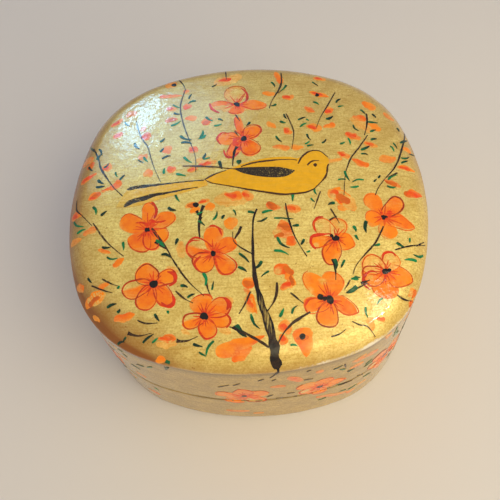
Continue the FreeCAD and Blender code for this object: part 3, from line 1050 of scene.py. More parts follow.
# Round places in the petals and buds where the wash is thinnest, each given by its pixel and its radius
BARE_WINDOWS = {
    "right of the middle": [(319.5, 226.5, 5.5), (340.5, 225.5, 5), (316, 245.5, 4)],
    "low right": [(322, 281.5, 4.5), (309, 291.5, 4.5)],
    "right": [(390, 257.5, 6), (375, 263, 6), (370, 277.5, 4.5)],
    "buds": [(277, 232, 5.5), (278, 271, 5), (281, 279.5, 3.5), (244, 294, 5), (333, 196, 4.5),
             (411, 294, 4.5)],
    "back": [(236, 92, 8)],
}
WINDOW_WASH = 0.3
WASHES = {"bare": 0.25, "thin": 0.5}
FULL_WASH = 1.15
HALF_BARE = 0.4
VEIN_TURNS = (-0.4, 0, 0.4)
VEIN_REACH = (0.3, 0.62)
OUTLINE_FIRMNESS = (0.45, 0.9)
SPOT_TOUCHES = (1, 0.7, 0.6, 0.5)

# The orange that shows through where a red or brown stroke runs dry
ORANGE_BELOW = ("#FF8E06", "#F87808", "#EE4C06")
orange_wash = lacquered_paint("orange_tempera_wash", "#FF8E06", "#EE4C06", 0.35)
red_line = lacquered_paint("red_tempera_line", "#E63A0C", "#8A2606", 1.2, below=ORANGE_BELOW, shine=0)
heart_black = lacquered_paint("black_tempera", "#120D08", "#241A0E", 1.2)
petals = new_paint()
outlines = new_paint()
hearts = new_paint()


def pixel_size(place):
    """How long a pixel of the photograph is at that place."""
    return (place - eye).dot(ahead) / FOCAL_PIXELS


def mark_on_box(mark):
    """A stroke's two ends on the box and its width, from their pixels and its breadth in pixels."""
    start = seen_on_box(mark[:2])
    return start, seen_on_box(mark[2:4]), mark[4] * pixel_size(start)


def petal_profile(share):
    """A petal narrow at its root, broadest past its middle and round at its tip."""
    return 1.38 * share ** 0.42 * math.sqrt(max(1 - share ** 3.4, 0))


def pointed_profile(share):
    """A petal that runs out to a point."""
    return 1.95 * share ** 0.5 * (1 - share) ** 0.75


def bud_profile(share):
    """A half-open bud: pointed at its stem, and broad and round at its top."""
    return 1.5 * share ** 0.75 * math.sqrt(max(1 - share ** 4, 0))


def dab_profile(share):
    """A dab of the brush, round at both ends."""
    return math.sqrt(max(1 - (2 * share - 1) ** 2, 0))


def vein_profile(share):
    """A vein: full at the heart and drawn out towards the tip."""
    return 1 - 0.8 * share


def mottled(strength, bare_until=-1):
    """A wash of that strength, uneven along the petal, and all but bare on its near side to bare_until."""
    phase = hand.uniform(0, 6)
    slope = hand.uniform(-0.25, 0.25)

    def wash(along, over):
        if over < bare_until:
            return 0.12
        edge = 1 - 0.2 * (2 * over - 1) ** 2
        ripple = 0.93 + 0.14 * math.sin(phase + 5 * along + 3 * over)
        return strength * edge * ripple * (1 + slope * (2 * along - 1))

    return wash


def petal(root, tip, breadth, finish):
    """Washes in one petal from its root to its tip and draws its outline and veins."""
    profile = pointed_profile if finish == "pointed" else petal_profile
    near, far = stroke_edges([root, root.lerp(tip, 0.5), tip], breadth, profile, PETAL_STEPS)
    wash = mottled(WASHES.get(finish, FULL_WASH), HALF_BARE if finish == "half" else -1)
    strength = hand.uniform(0, 0.4)
    lay_paint(petals, near, far, PETAL_COLUMNS, PETAL_LIFT, wash,
              lambda along, over: strength + 0.6 * max(0, 1 - 2.2 * along))
    shift = Vector((hand.uniform(-1, 1), hand.uniform(-1, 1), 0)) * MISREGISTRATION
    rim = [place + shift for place in near[1:] + far[-2:0:-1]]
    if finish == "loose":
        start = hand.randrange(2, len(rim) // 2)
        rim = rim[start:start + len(rim) // 3]
    elif finish == "plain" and hand.random() < 0.5:
        rim = rim[:2 * len(rim) // 3] if hand.random() < 0.5 else rim[len(rim) // 3:]
    elif finish == "pointed":
        rim = rim[len(rim) // 8:-len(rim) // 8]
    else:
        rim = rim[hand.randrange(4):len(rim) - hand.randrange(5)]
    firm = 1 if finish in ("outlined", "half") else hand.uniform(*OUTLINE_FIRMNESS)
    brush_line(outlines, rim[::2] + [rim[-1]], OUTLINE_WIDTH * hand.uniform(0.85, 1.25) * firm,
               OUTLINE_LIFT, wash=mottled(1.25 * firm), tint=firm * hand.uniform(0.2, 0.9))
    if finish == "bare":
        return
    for turn in VEIN_TURNS:
        reach = (tip - root) * hand.uniform(*VEIN_REACH)
        reach.rotate(Matrix.Rotation(turn + hand.uniform(-0.12, 0.12), 3, ground.find_nearest(root)[1]))
        brush_line(outlines, [root, root + reach], VEIN_WIDTH, OUTLINE_LIFT, vein_profile,
                   wash=mottled(1.1), tint=hand.uniform(-0.1, 0.35))


def dab(shape, start, end, width, lift, profile=dab_profile, wash=full, tint=0.5, ragged=0):
    """One dab of a loaded brush from start to end, which are places on the box."""
    middles = [start.lerp(end, share) for share in (0.25, 0.5, 0.75)]
    brush_line(shape, [start, *middles, end], width, lift, profile, 5, wash, tint, ragged)


def spot(shape, place, size, lift, wash=heavy, tint=0.5):
    """A small ragged blob of paint in a few overlapping touches, turned at random."""
    normal = ground.find_nearest(place)[1]
    for share in SPOT_TOUCHES:
        reach = normal.orthogonal().normalized() * size * share * 0.5
        reach.rotate(Matrix.Rotation(hand.uniform(0, math.tau), 3, normal))
        middle = place + reach.cross(normal) * hand.uniform(1, 2.2) * (1 - share)
        dab(shape, middle - reach, middle + reach, size * share * hand.uniform(0.5, 0.9), lift,
            wash=wash, tint=tint, ragged=RAGGEDNESS)


def spot_on_box(shape, mark, lift, wash=heavy, tint=0.5):
    """A blob at a pixel of the photograph, as many pixels across as its mark says."""
    place = seen_on_box(mark[:2])
    spot(shape, place, mark[2] * pixel_size(place), lift, wash, tint)


for blossom in BLOSSOMS.values():
    heart = seen_on_box(blossom["heart"][:2])
    for where, mark in blossom.items():
        if where != "heart":
            tip = seen_on_box(mark[:2])
            petal(heart.lerp(tip, ROOT_SHARE), tip, BREADTH_SHARE * mark[2] * pixel_size(tip), mark[3])
    spot_on_box(hearts, blossom["heart"], HEART_LIFT)
for mark in SECOND_HEARTS.values():
    spot_on_box(hearts, mark, HEART_LIFT)
for mark in RED_PATCHES.values():
    spot_on_box(outlines, mark, OUTLINE_LIFT, mottled(1.1), -0.1)
for breadth, route in RED_ARCS.values():
    places = route_on_box(route)
    brush_line(outlines, places, breadth * pixel_size(places[0]), OUTLINE_LIFT, dab_profile, 3, heavy,
               hand.uniform(0.1, 0.45), 0.1)


# Buds
# Between the blossoms the painter leaves half-open buds: two or three quick dabs of the orange wash,
# without outlines. Each is given by the two ends of its stroke and its breadth in the photograph.
BUDS = {
    "back left": [
        (159.5, 97, 182.4, 95.7, 5), (165, 86, 177, 83, 9), (184, 93, 189, 90, 6),
        (166, 109, 177, 108, 6), (183, 107, 192, 106, 6), (165, 121, 178, 119, 6),
        (185, 119, 197, 117.5, 7), (202, 124, 212, 118, 9), (189, 152, 197, 147, 8),
        (198, 166, 217, 161, 7), (187, 171, 198, 168, 7), (167, 171, 176, 167.5, 8),
        (143, 174.5, 153, 172.5, 9), (162, 152, 172, 147, 8), (126, 117, 137, 112, 7),
        (111, 127, 123, 119, 5), (113, 138, 123, 133, 6), (141, 139, 151, 134, 8),
        (138, 158, 148, 156, 8), (140, 131, 146, 127, 6), (216, 82, 238, 77, 9),
    ],
    "left edge": [
        (83, 167, 94, 158, 9), (102, 170, 112, 166, 9), (81, 185, 97, 173, 7), (110, 190, 121, 181, 8),
        (88, 200, 101, 193, 8), (101, 192, 110, 188, 4), (72, 219, 82, 215, 8), (83, 235, 96, 228, 7),
        (71, 245, 82, 239, 8), (98, 250, 111, 253, 5), (113, 267, 124, 258, 8), (77, 289, 84, 287, 9),
        (98, 288, 109, 284, 8), (86, 308, 104, 293, 12), (114, 321, 135, 314, 10),
        (158, 338.6, 176, 338.6, 6), (156, 362, 165, 358, 7), (93, 316, 100, 322, 5),
    ],
    "under the bird": [
        (224, 194, 242, 198, 9), (241, 193, 253, 199, 9), (185, 207, 198, 203, 6),
        (190, 213, 200, 208, 7), (198, 203, 210, 200, 4), (226, 228, 236, 220, 11),
        (229, 219, 236, 226, 9), (266, 204, 281, 208, 8), (284, 207, 301, 210, 8),
        (273, 234, 290, 225, 14), (287, 236, 295, 245, 9), (205, 209, 215, 205, 8),
    ],
    "back right": [
        (275, 72, 281, 84, 6), (262, 93, 275, 94, 6), (282, 97, 294, 97, 6), (313, 78, 326, 80, 6),
        (309, 92, 329, 97, 7), (304, 107, 315, 112, 7), (324, 113, 333, 109, 8),
        (306, 126, 322, 129, 8), (323, 127, 335, 124, 6), (284, 128, 291, 134, 7),
        (272, 147, 290, 148, 6), (291, 148, 304, 147, 8), (267, 122, 276, 128, 7),
        (362, 102, 375, 110, 8), (352, 117, 366, 120, 7), (367, 124, 381, 130, 8),
        (383, 113, 394, 121, 6), (345, 133, 361, 139, 7), (364, 142, 378, 147, 7),
        (337, 152, 350, 157, 7), (352, 159, 369, 166, 8), (379, 159.5, 396, 158, 8),
        (397, 167, 415, 172, 7), (402, 148, 411, 153, 6), (384, 180, 401, 187, 6),
        (404, 194, 422, 196.5, 9), (330, 198, 340, 187, 12), (338, 203, 350, 195, 12),
        (338, 209, 355, 203, 10),
    ],
    "round the trunk": [
        (242, 284, 254, 281, 9), (245, 293, 250, 290, 9), (246, 297, 256, 312, 9),
        (274, 267, 290, 271, 12), (280, 289, 295, 280, 10), (287, 272, 292, 284, 8),
        (278, 326, 292, 330, 11), (281, 334, 286, 344, 8), (232, 361, 252, 347, 9),
    ],
    "right edge": [
        (408, 296, 415, 291, 8), (409, 305, 413, 298, 5), (370, 317, 373, 331, 8),
        (385, 337, 391, 334, 6), (376, 318, 385, 320, 6),
    ],
}
POINTED_BUDS = {
    "right of the trunk": (306.5, 357, 303.3, 327.5, 18),
    "beside the foot": (265, 335.5, 216, 354, 15),
    "under the throat": (355, 211, 336, 192, 15),
    "left of the trunk": (257, 314, 249, 294, 9),
}
BROWN_TOUCHES = {
    "under the throat": (336, 195, 350, 203, 9),
    "under the belly": (267, 202.5, 277, 208, 7),
    "left of the stem, top": (278, 224, 291, 230, 7),
    "left of the stem, low": (274, 237, 284, 234, 4),
    "above the fork": (284, 266, 293, 275, 7),
    "above the fork, right": (291, 275, 293, 286, 4),
    "left of the trunk": (243, 282, 254, 285, 6),
    "upper right edge": (404, 192, 411, 196, 6),
    "under the head's stem": (385, 181, 397, 186, 5),
    "right edge": (412, 298, 416, 290, 5),
    "right edge, low": (409, 307, 413, 301, 4),
    "under the tail's stem": (187, 206, 196, 205, 4),
    "left edge": (88, 170, 94, 162, 6),
    "left edge, low": (92, 197, 101, 193, 4),
    "back left": (203, 125, 211, 120, 5),
    "beside the back stem": (168, 121, 176, 120, 4),
    "at the rim": (89, 306, 100, 297, 6),
    "over the low bud": (160, 338, 174, 338.6, 4),
    "right of the trunk": (296, 339, 309, 337, 6),
}
PALE_WASHES = {
    "under the bird": (214, 200, 250, 197, 15),
    "under the low band": (156, 344.5, 177, 344, 8),
    "under the throat": (338, 192, 356, 210, 12),
    "at the left rim": (88, 303, 106, 294, 12),
    "above the tail": (196, 160, 216, 163, 9),
    "back blossom": (214, 84, 242, 76, 13),
    "across the back blossom": (213, 108, 262, 107, 9),
    "back blossom, top": (226, 97, 247, 95, 15),
    "back right": (350, 118, 372, 132, 12),
    "beside the middle blossom": (181, 241, 182.5, 258, 9),
    "over the low left blossom": (166, 268, 178, 272, 7),
    "over the low middle blossom": (225, 297, 233, 303, 7),
    "under the low middle blossom": (219, 328, 231, 333, 7),
    "beside the low middle blossom": (181, 330, 190, 334, 5),
}
BUD_HEARTS = {
    "back left": (174, 85),
    "right of the trunk": (302.5, 336.5),
    "back right": (317, 95),
    "under the bird": (196, 205),
}
TOUCH_LIFT = 0.056 * MM
brown_wash = lacquered_paint("second_wash_of_red_brown", "#E4690F", "#BA5210", 0.6,
                             below=ORANGE_BELOW, shine=0)
touches = new_paint()

for mark in PALE_WASHES.values():
    dab(petals, *mark_on_box(mark), PETAL_LIFT, wash=mottled(0.4), tint=0, ragged=RAGGEDNESS)
for mark in POINTED_BUDS.values():
    dab(petals, *mark_on_box(mark), PETAL_LIFT, bud_profile, mottled(1.1),
        lambda along, over: 0.6 * over, RAGGEDNESS / 3)
for dabs in BUDS.values():
    for mark in dabs:
        start, end, width = mark_on_box(mark)
        shade = hand.uniform(-0.1, 0.7)
        slope = hand.uniform(-0.6, 0.6)
        profile = hand.choice((dab_profile, petal_profile, pointed_profile))
        dab(petals, start, end, 1.1 * width, PETAL_LIFT, profile, mottled(hand.uniform(0.75, 1.15)),
            lambda along, over: shade + slope * (along - over), RAGGEDNESS)
        if hand.random() < 0.4:
            dab(petals, start.lerp(end, 0.1), start.lerp(end, 0.7), 0.6 * width, TOUCH_LIFT,
                petal_profile, mottled(1.15), 0.9, RAGGEDNESS)
for pixel in BUD_HEARTS.values():
    spot(hearts, seen_on_box(pixel), 0.7 * HEART_SIZE, HEART_LIFT)
windows = []
for marks in BARE_WINDOWS.values():
    for mark in marks:
        place = seen_on_box(mark[:2])
        windows.append((place, mark[2] * pixel_size(place)))
wash_layer = petals.verts.layers.float["wash"]
for vertex in petals.verts:
    for place, size in windows:
        nearness = (vertex.co - place).length / size
        vertex[wash_layer] *= WINDOW_WASH + (1 - WINDOW_WASH) * min(max(2 * nearness - 1, 0), 1)
for mark in BROWN_TOUCHES.values():
    dab(touches, *mark_on_box(mark), TOUCH_LIFT, hand.choice((dab_profile, petal_profile)),
        mottled(0.85), hand.uniform(0.1, 0.9), RAGGEDNESS)
finish_paint("petals", petals, orange_wash)
finish_paint("second_touches", touches, brown_wash)
finish_paint("petal_outlines", outlines, red_line)
finish_paint("blossom_hearts", hearts, heart_black)


# Leaves
# Small single strokes of green, heavy where the brush lands and drawn out to a point, beside every stem.
# Each is given by where it starts and where it ends.
LEAF_LIFT = 0.072 * MM
LEAF_WIDTH = 0.6 * MM
BROAD_LEAF_WIDTH = 0.95 * MM
BROAD_LEAF_SHADE = 0.35
LEAVES = {
    "left edge": [
        (102, 247, 111, 247), (123, 242, 123.5, 250.6), (107, 257, 118, 258), (88, 278, 92, 283),
        (118, 289, 120, 286), (107, 308, 117, 304), (117.4, 313, 120, 309), (126, 337, 123, 342),
        (74, 222, 84, 227), (77, 234, 86, 229), (93, 207, 96, 215), (101, 216, 107, 211),
        (118, 344.5, 125, 342), (89, 167, 93, 171), (97, 160, 102, 154), (104, 168, 109, 163),
        (116, 172, 118, 177), (98, 180, 104, 184), (96, 187, 105, 186), (120, 180, 125, 175),
        (91, 148, 97, 154), (99, 149, 102, 156),
    ],
    "low left": [
        (154.4, 314, 159.5, 321.4), (167.8, 310.6, 168.4, 314), (143, 343, 154, 334),
        (152, 343, 158, 338), (193, 344, 203, 347), (199, 352, 206, 356.5), (214, 341, 206, 356),
        (180.5, 286, 188, 287.6), (187.6, 298, 195, 294), (178, 238.5, 175.4, 245),
        (161.4, 255, 171, 258), (157, 241, 164, 247),
    ],
    "middle": [
        (239, 253, 249.4, 262.7), (238, 267, 247, 272), (211.8, 290, 213.7, 281), (251, 314, 260, 329),
        (262, 261, 254, 269), (269, 271, 261, 277), (277, 237, 290, 248), (274, 250.6, 289, 255),
        (299, 225, 292, 226), (304, 239, 301, 245), (310, 250.6, 306, 252), (279.5, 317, 284, 308),
        (292, 314, 298, 305.5), (290.4, 345.6, 297.4, 346.3), (247.7, 212, 256, 213.7),
        (267.4, 217.5, 256.6, 221.4), (262, 213, 273, 210.5), (274, 218, 293.6, 219),
        (213, 220, 217, 211), (222, 219, 225, 215), (233, 210, 236, 216), (197, 215, 203, 212),
        (198, 221, 205, 226),
    ],
    "right": [
        (345, 260, 341, 268), (355, 235, 359, 240), (380, 244, 373, 245.5), (351, 279, 360.5, 277.4),
        (383, 298, 377, 305), (365.6, 307, 368, 318), (396, 243, 404.5, 247.4), (410, 238, 409.6, 243),
        (423, 255.7, 413, 254.4), (416.7, 261.5, 404.5, 260), (397.5, 327, 399.4, 331),
        (293, 193, 293, 201.6), (314.6, 189, 317, 195), (311, 198, 315, 202), (335, 203, 328, 205),
        (344.6, 171, 350, 181), (338, 180, 346, 180), (363.7, 180, 352, 182.4), (358.6, 186, 350, 187),
        (353, 226, 356, 232),
    ],
    "back left": [
        (171, 126, 181, 121), (173, 105, 180, 108), (174, 113, 181, 114), (189, 99, 192, 94),
        (196, 101, 188, 104), (206, 117, 213, 121), (180, 136, 192, 140), (181, 143, 192, 144),
        (200, 138, 203, 130), (206, 135, 198, 139), (135, 143, 140, 149), (138, 160, 144, 163),
        (144, 157, 148, 162), (160, 142, 165, 138), (162, 159, 171, 156), (164, 174, 165, 168),
        (184, 157, 192, 163), (203, 159, 206, 153), (210, 158, 203, 160), (160, 152, 164, 148),
        (176, 174, 186, 176), (125, 122, 130, 126), (175, 194.5, 180, 202), (168, 207.5, 176.5, 210.5),
        (212, 87, 217, 84), (218, 119, 223, 121), (214, 126, 222, 124), (250, 122, 246, 126),
    ],
    "back right": [
        (271, 82, 275, 87), (286, 85, 281, 91), (276, 104, 271, 106), (284, 114, 287, 119),
        (280, 121, 286, 123), (276, 136, 282, 142), (298, 120, 306, 117), (306, 119, 309, 121),
        (300, 127, 307, 123), (326, 119, 333, 116), (336, 103, 341, 99), (338, 107, 344, 106),
        (313, 102, 319, 105), (312, 82, 318, 86), (307, 134, 311, 140), (305, 144, 310, 141),
        (322, 143, 326, 139), (307, 146, 314, 145), (340, 144, 345, 142), (348, 138, 350, 145),
        (353, 125, 359, 131), (360, 110, 365, 114), (372, 114, 376, 118), (368, 122, 378, 123),
        (370, 132, 376, 130), (371, 140, 377, 139), (361, 150, 370, 146), (361, 154, 368, 155),
        (378, 178, 380, 175), (374, 182, 377, 179), (390, 146, 394, 152), (393, 143, 397, 149),
        (400, 143, 407, 141), (401, 158, 409, 157), (401, 163, 408, 161), (387, 186, 396, 187),
        (388, 180, 398, 175), (397, 128, 399, 132), (414, 156, 409, 154),
    ],
}
BROAD_LEAVES = {
    "under the middle blossom": (203, 273, 205, 286),
    "under the tail blossom": (156, 240, 165, 247),
    "on the low branch": (236, 325, 247, 337),
    "beside the upper right blossom": (366.3, 221, 366.3, 233),
    "under the right blossom": (334, 259, 335, 270),
    "on the right fork": (357, 286.5, 346, 293),
    "between the stems": (358, 278, 352, 279),
    "behind the bird's wing": (219, 161, 222, 169),
    "above the bird's back": (237, 163, 241, 160),
    "at the rim": (168.5, 360.5, 165.5, 369.5),
}
LEAF_SHADES = {
    "left edge": 0.65, "low left": 0.65, "middle": 0.3, "right": 0, "back left": 0.5, "back right": 0.5,
}
leaf_green = lacquered_paint("green_tempera", "#14864C", "#14301C", 1.4)
leaves = new_paint()


def leaf_profile(share):
    """A leaf stroke: full where the brush is pressed down, then drawn out fine."""
    return 1.75 * (share + 0.04) ** 0.45 * (1 - share) ** 0.9 + 0.1


def leaf(pixels, width, shade):
    """One leaf stroke, slightly bent, from pixel to pixel, the darker the more its shade."""
    start = seen_on_box(pixels[:2])
    end = seen_on_box(pixels[2:])
    bend = (end - start).cross(ground.find_nearest(start)[1]) * hand.uniform(-0.2, 0.2)
    shade += hand.uniform(-0.3, 0.3)
    slope = hand.choice((1, 1, -0.7))
    brush_line(leaves, [start, start.lerp(end, 0.5) + bend, end], width * hand.uniform(0.75, 1.2),
               LEAF_LIFT, leaf_profile, 2, thin_stem, lambda along, over: shade + slope * along)


for place, strokes in LEAVES.items():
    for pixels in strokes:
        leaf(pixels, LEAF_WIDTH, LEAF_SHADES[place])
for pixels in BROAD_LEAVES.values():
    leaf(pixels, BROAD_LEAF_WIDTH, BROAD_LEAF_SHADE)
finish_paint("leaves", leaves, leaf_green)


# Bird
# A long-tailed songbird in yellow ochre with a black wing, in the manner of the Kashmiri bird and
# blossom pattern. It is filled in flat first, and its lines are drawn over the fill.
BIRD_LIFT = 0.08 * MM
WING_LIFT = 0.09 * MM
BIRD_LINE_LIFT = 0.1 * MM
BIRD_LINE_WIDTH = 0.42 * MM
EYE_SIZE = 0.85 * MM
UPPER_STRIPE_WIDTH = 1.05 * MM
LOWER_STRIPE_WIDTH = 1.4 * MM
BODY_STEPS = 48
BODY_COLUMNS = 14
BACK = [(204.8, 179.7), (213.9, 174.9), (226.4, 170.6), (243.1, 163.8), (266.5, 158.2), (287.6, 156.8),
        (297, 158.5), (302, 156.4), (307.7, 152.4), (315.3, 150.5), (321.1, 152), (326.8, 156.6),
        (329, 160.5)]
BELLY = [(204.8, 179.9), (212, 183.1), (228.3, 185.9), (247.4, 189.3), (266.5, 192.4), (279.9, 194.2),
         (295.2, 193.8), (306.7, 192.1), (314.4, 188.8), (322, 181.1), (326.3, 175.4), (327.3, 167.7),
         (328.7, 163.4)]
WING_TOP = [(233, 168.7), (243.6, 167.6), (257, 167.2), (276.1, 167), (285.7, 168.4), (294.8, 170.4)]
WING_FOOT = [(233, 168.8), (243.6, 173.5), (257, 176.2), (271.3, 177.5), (283.8, 177), (291, 174),
             (295, 171)]
TAIL_TOP = [(127.3, 189.5), (140.7, 186.5), (162.1, 184), (180.9, 181.8), (206, 180)]
TAIL_FOOT = [(116, 207), (134, 206.5), (160, 199), (185, 192.2), (208, 184.8)]
UPPER_TAIL_STRIPE = [(204.1, 180.4), (180.9, 182.3), (162.1, 184.5), (140.7, 187.1), (127.3, 189.8)]
LOWER_TAIL_STRIPE = [(197.9, 187.3), (185.4, 189.4), (167.5, 192.9), (154.1, 195.6), (143.4, 198.3),
                     (133.6, 201.4), (123.8, 206.8)]
BIRD_LINES = {
    "back": [(241, 166.8), (252.2, 163.4), (266.5, 161), (287.6, 159.6), (297.1, 160.4)],
    "head": [(298.1, 163.9), (301.9, 157.2), (307.7, 152.4), (315.3, 150.5), (321.1, 152),
             (327.8, 157.4)],
    "throat": [(328.7, 164.2), (327.3, 167.7), (326.3, 175.4), (322, 181.1), (314.4, 188.8)],
    "belly": [(314.4, 188.8), (306.7, 192.1), (295.2, 193.8), (279.9, 194.2), (266.5, 192.4),
              (247.4, 189.3), (228.3, 185.9), (212, 183.1), (204.8, 179.7)],
    "rump": [(204.8, 179.7), (213.9, 174.9), (226.4, 170.4)],
    "wing tip": [(182.7, 166.2), (194.3, 166.2), (216.6, 167.3), (231.8, 169.1), (238, 169.8)],
    "brow": [(307.2, 165.4), (311.5, 161.5), (319.1, 160.6)],
}
BEAK = [(326.5, 161), (334, 160.5), (342, 159)]
BEAK_WIDTH = 1.1 * MM
EYE = (315.3, 165.1)

bird_brown = lacquered_paint("brown_tempera_line", "#3E2408", "#5C3C10", 1)
wing_black = lacquered_paint("dragged_black_tempera", "#0E0A06", "#352A18", 2.4, (1 / BRUSH_WIDTH,) * 3)
bird_ochre = lacquered_paint("yellow_ochre_tempera", "#FABC08", "#DEA406", 0.4)
bird_fill = new_paint()
bird_wing = new_paint()
bird_lines = new_paint()


def bird_edge(pixels):
    """An edge of the bird as evenly spaced places on the box."""
    line = eased(route_on_box(pixels))
    return [along_line(line, step / BODY_STEPS) for step in range(BODY_STEPS + 1)]


def streaked(along, over):
    """Black from a nearly dry brush, which leaves grains of gold bare."""
    return 1.2 - 0.45 * along ** 6


def upper_stripe(share):
    """The upper tail stripe: a line that swells towards its end and closes there in a round."""
    return 0.25 + 0.95 * share ** 3 * (1 - share ** 16)


def lower_stripe(share):
    """The lower tail stripe, which swells sooner."""
    return 0.16 + 0.95 * share ** 1.4 * (1 - share ** 14)


lay_paint(bird_fill, bird_edge(BELLY), bird_edge(BACK), BODY_COLUMNS, BIRD_LIFT, full, 0.5)
lay_paint(bird_fill, bird_edge(TAIL_FOOT), bird_edge(TAIL_TOP), BODY_COLUMNS // 2, BIRD_LIFT,
          lambda along, over: 0.35 + 0.45 * along, 0.5)
lay_paint(bird_wing, bird_edge(WING_FOOT), bird_edge(WING_TOP), BODY_COLUMNS // 2, WING_LIFT,
          streaked, 0.9)
brush_line(bird_wing, route_on_box(UPPER_TAIL_STRIPE), UPPER_STRIPE_WIDTH, WING_LIFT, upper_stripe, 4,
           streaked, 0.9)
brush_line(bird_wing, route_on_box(LOWER_TAIL_STRIPE), LOWER_STRIPE_WIDTH, WING_LIFT, lower_stripe, 6,
           streaked, 0.9)
for route in BIRD_LINES.values():
    brush_line(bird_lines, route_on_box(route), BIRD_LINE_WIDTH, BIRD_LINE_LIFT, wash=heavy)
spot(bird_lines, seen_on_box(EYE), EYE_SIZE, BIRD_LINE_LIFT)
beak = new_paint()
brush_line(beak, route_on_box(BEAK), BEAK_WIDTH, BIRD_LIFT, lambda share: 1 - 0.6 * share, 2,
           mottled(0.7), 0.2)
finish_paint("bird_body", bird_fill, bird_ochre)
finish_paint("bird_wing", bird_wing, wing_black)
finish_paint("bird_drawing", bird_lines, bird_brown)
finish_paint("bird_beak", beak, orange_wash)


# Painting on the sides
# The same blossoms run round the walls as a border, painted with the lid on, so that they cross the
# seam. Two of them show in the photograph, and the rest follow at the same spacing, with buds, short
# twigs and leaves between.
BOTH_BODIES = ("lid", "base")
FRONT_BLOSSOMS = {"left": (243.1, 395.8), "right": (318.5, 386.6)}
BLOSSOM_GAPS = 14
BLOSSOM_HEIGHT = 19 * MM
BLOSSOM_REACH = 5.6 * MM
WALL_PETAL_BREADTH = 4.4 * MM
WALL_LOW = 2.5 * MM
WALL_HIGH = 33.5 * MM
WALK_STEPS = 720
BUD_LEVELS = (29 * MM, 25 * MM, 9 * MM, 6 * MM)
TWIG_LEVELS = (3 * MM, 9 * MM, 15 * MM, 22 * MM, 30 * MM)
LEAVES_PER_GAP = 11
# The scatter and the sizes of the strokes on the sides, in millimetres
BLOSSOM_DRIFT = 0.8
BLOSSOM_RISE = 2
TWIG_SWAY = 2
BUD_LENGTHS = (2.2, 4)
BUD_WIDTHS = (1.2, 2)
LEAF_LENGTHS = (1.3, 2.4)
LEAF_LEVELS = (4, 33)
PETAL_FINISHES = ("plain", "loose", "pointed", "loose", "half")
FRONT_BUDS = [(289, 377, 302, 381, 6), (316, 372, 324, 371, 4), (367, 355, 377, 351, 6),
              (377, 362, 386, 357, 6), (136, 372, 146, 377, 5), (386, 338, 391, 334, 6),
              (316, 397, 347, 391.5, 4), (226, 410, 250, 411, 4), (253, 413, 264, 412.5, 3),
              (270, 387, 286, 386, 4), (352, 362, 366, 357, 4)]
FRONT_STROKES = [(218, 387, 229, 385), (233, 385.5, 240, 383.5), (307, 371.5, 311, 370),
                 (345, 364, 346, 368), (347, 371.5, 351, 369.5), (258, 381, 264, 379),
                 (272, 381, 276, 379), (357, 375.5, 363, 374), (276, 398, 297, 396),
                 (267, 397, 273, 394.5), (287, 393.5, 295, 392), (304, 380, 313, 378.5),
                 (338, 385, 352, 380)]

petals = new_paint()
outlines = new_paint()
hearts = new_paint()
leaves = new_paint()
twigs = new_paint()
wall_walk = [outline_point(math.tau * step / WALK_STEPS, RIM_INSET) for step in range(WALK_STEPS + 1)]
walked = [0]
for start, end in zip(wall_walk, wall_walk[1:]):
    walked.append(walked[-1] + (end - start).length)
girth = walked[-1]


def distance_round(place):
    """How far round the wall a place is, anticlockwise from the right-hand side."""
    flat = Vector((place.x, place.y, 0))
    nearest = min(range(WALK_STEPS), key=lambda step: (wall_walk[step] - flat).length)
    return walked[nearest]


def on_wall(distance, height):
    """The place on the wall at a distance round it and at a height."""
    step = bisect.bisect_left(walked, distance % girth, 1)
    share = (distance % girth - walked[step - 1]) / (walked[step] - walked[step - 1])
    place = wall_walk[step - 1].lerp(wall_walk[step], share)
    place.z = min(max(height, WALL_LOW), WALL_HIGH)
    return ground.find_nearest(place)[0]


def wall_blossom(distance, height):
    """A blossom of five petals round a heart on the wall."""
    heart = on_wall(distance, height)
    turned = hand.uniform(0, math.tau)
    for number, finish in enumerate(hand.sample(PETAL_FINISHES, len(PETAL_FINISHES))):
        turn = turned + math.tau * number / len(PETAL_FINISHES) + hand.uniform(-0.12, 0.12)
        reach = BLOSSOM_REACH * hand.uniform(0.85, 1.12)
        tip = on_wall(distance + reach * math.cos(turn), height + reach * math.sin(turn))
        petal(heart.lerp(tip, ROOT_SHARE), tip, WALL_PETAL_BREADTH * hand.uniform(0.85, 1.1), finish)
    spot(hearts, heart, HEART_SIZE, HEART_LIFT)


def wall_stroke(shape, distance, height, length, lean, width, lift, profile, wash, tint):
    """A single stroke of the brush on the wall, leaning from level by lean."""
    start = on_wall(distance, height)
    end = on_wall(distance + length * math.cos(lean), height + length * math.sin(lean))
    dab(shape, start, end, width, lift, profile, wash, tint)


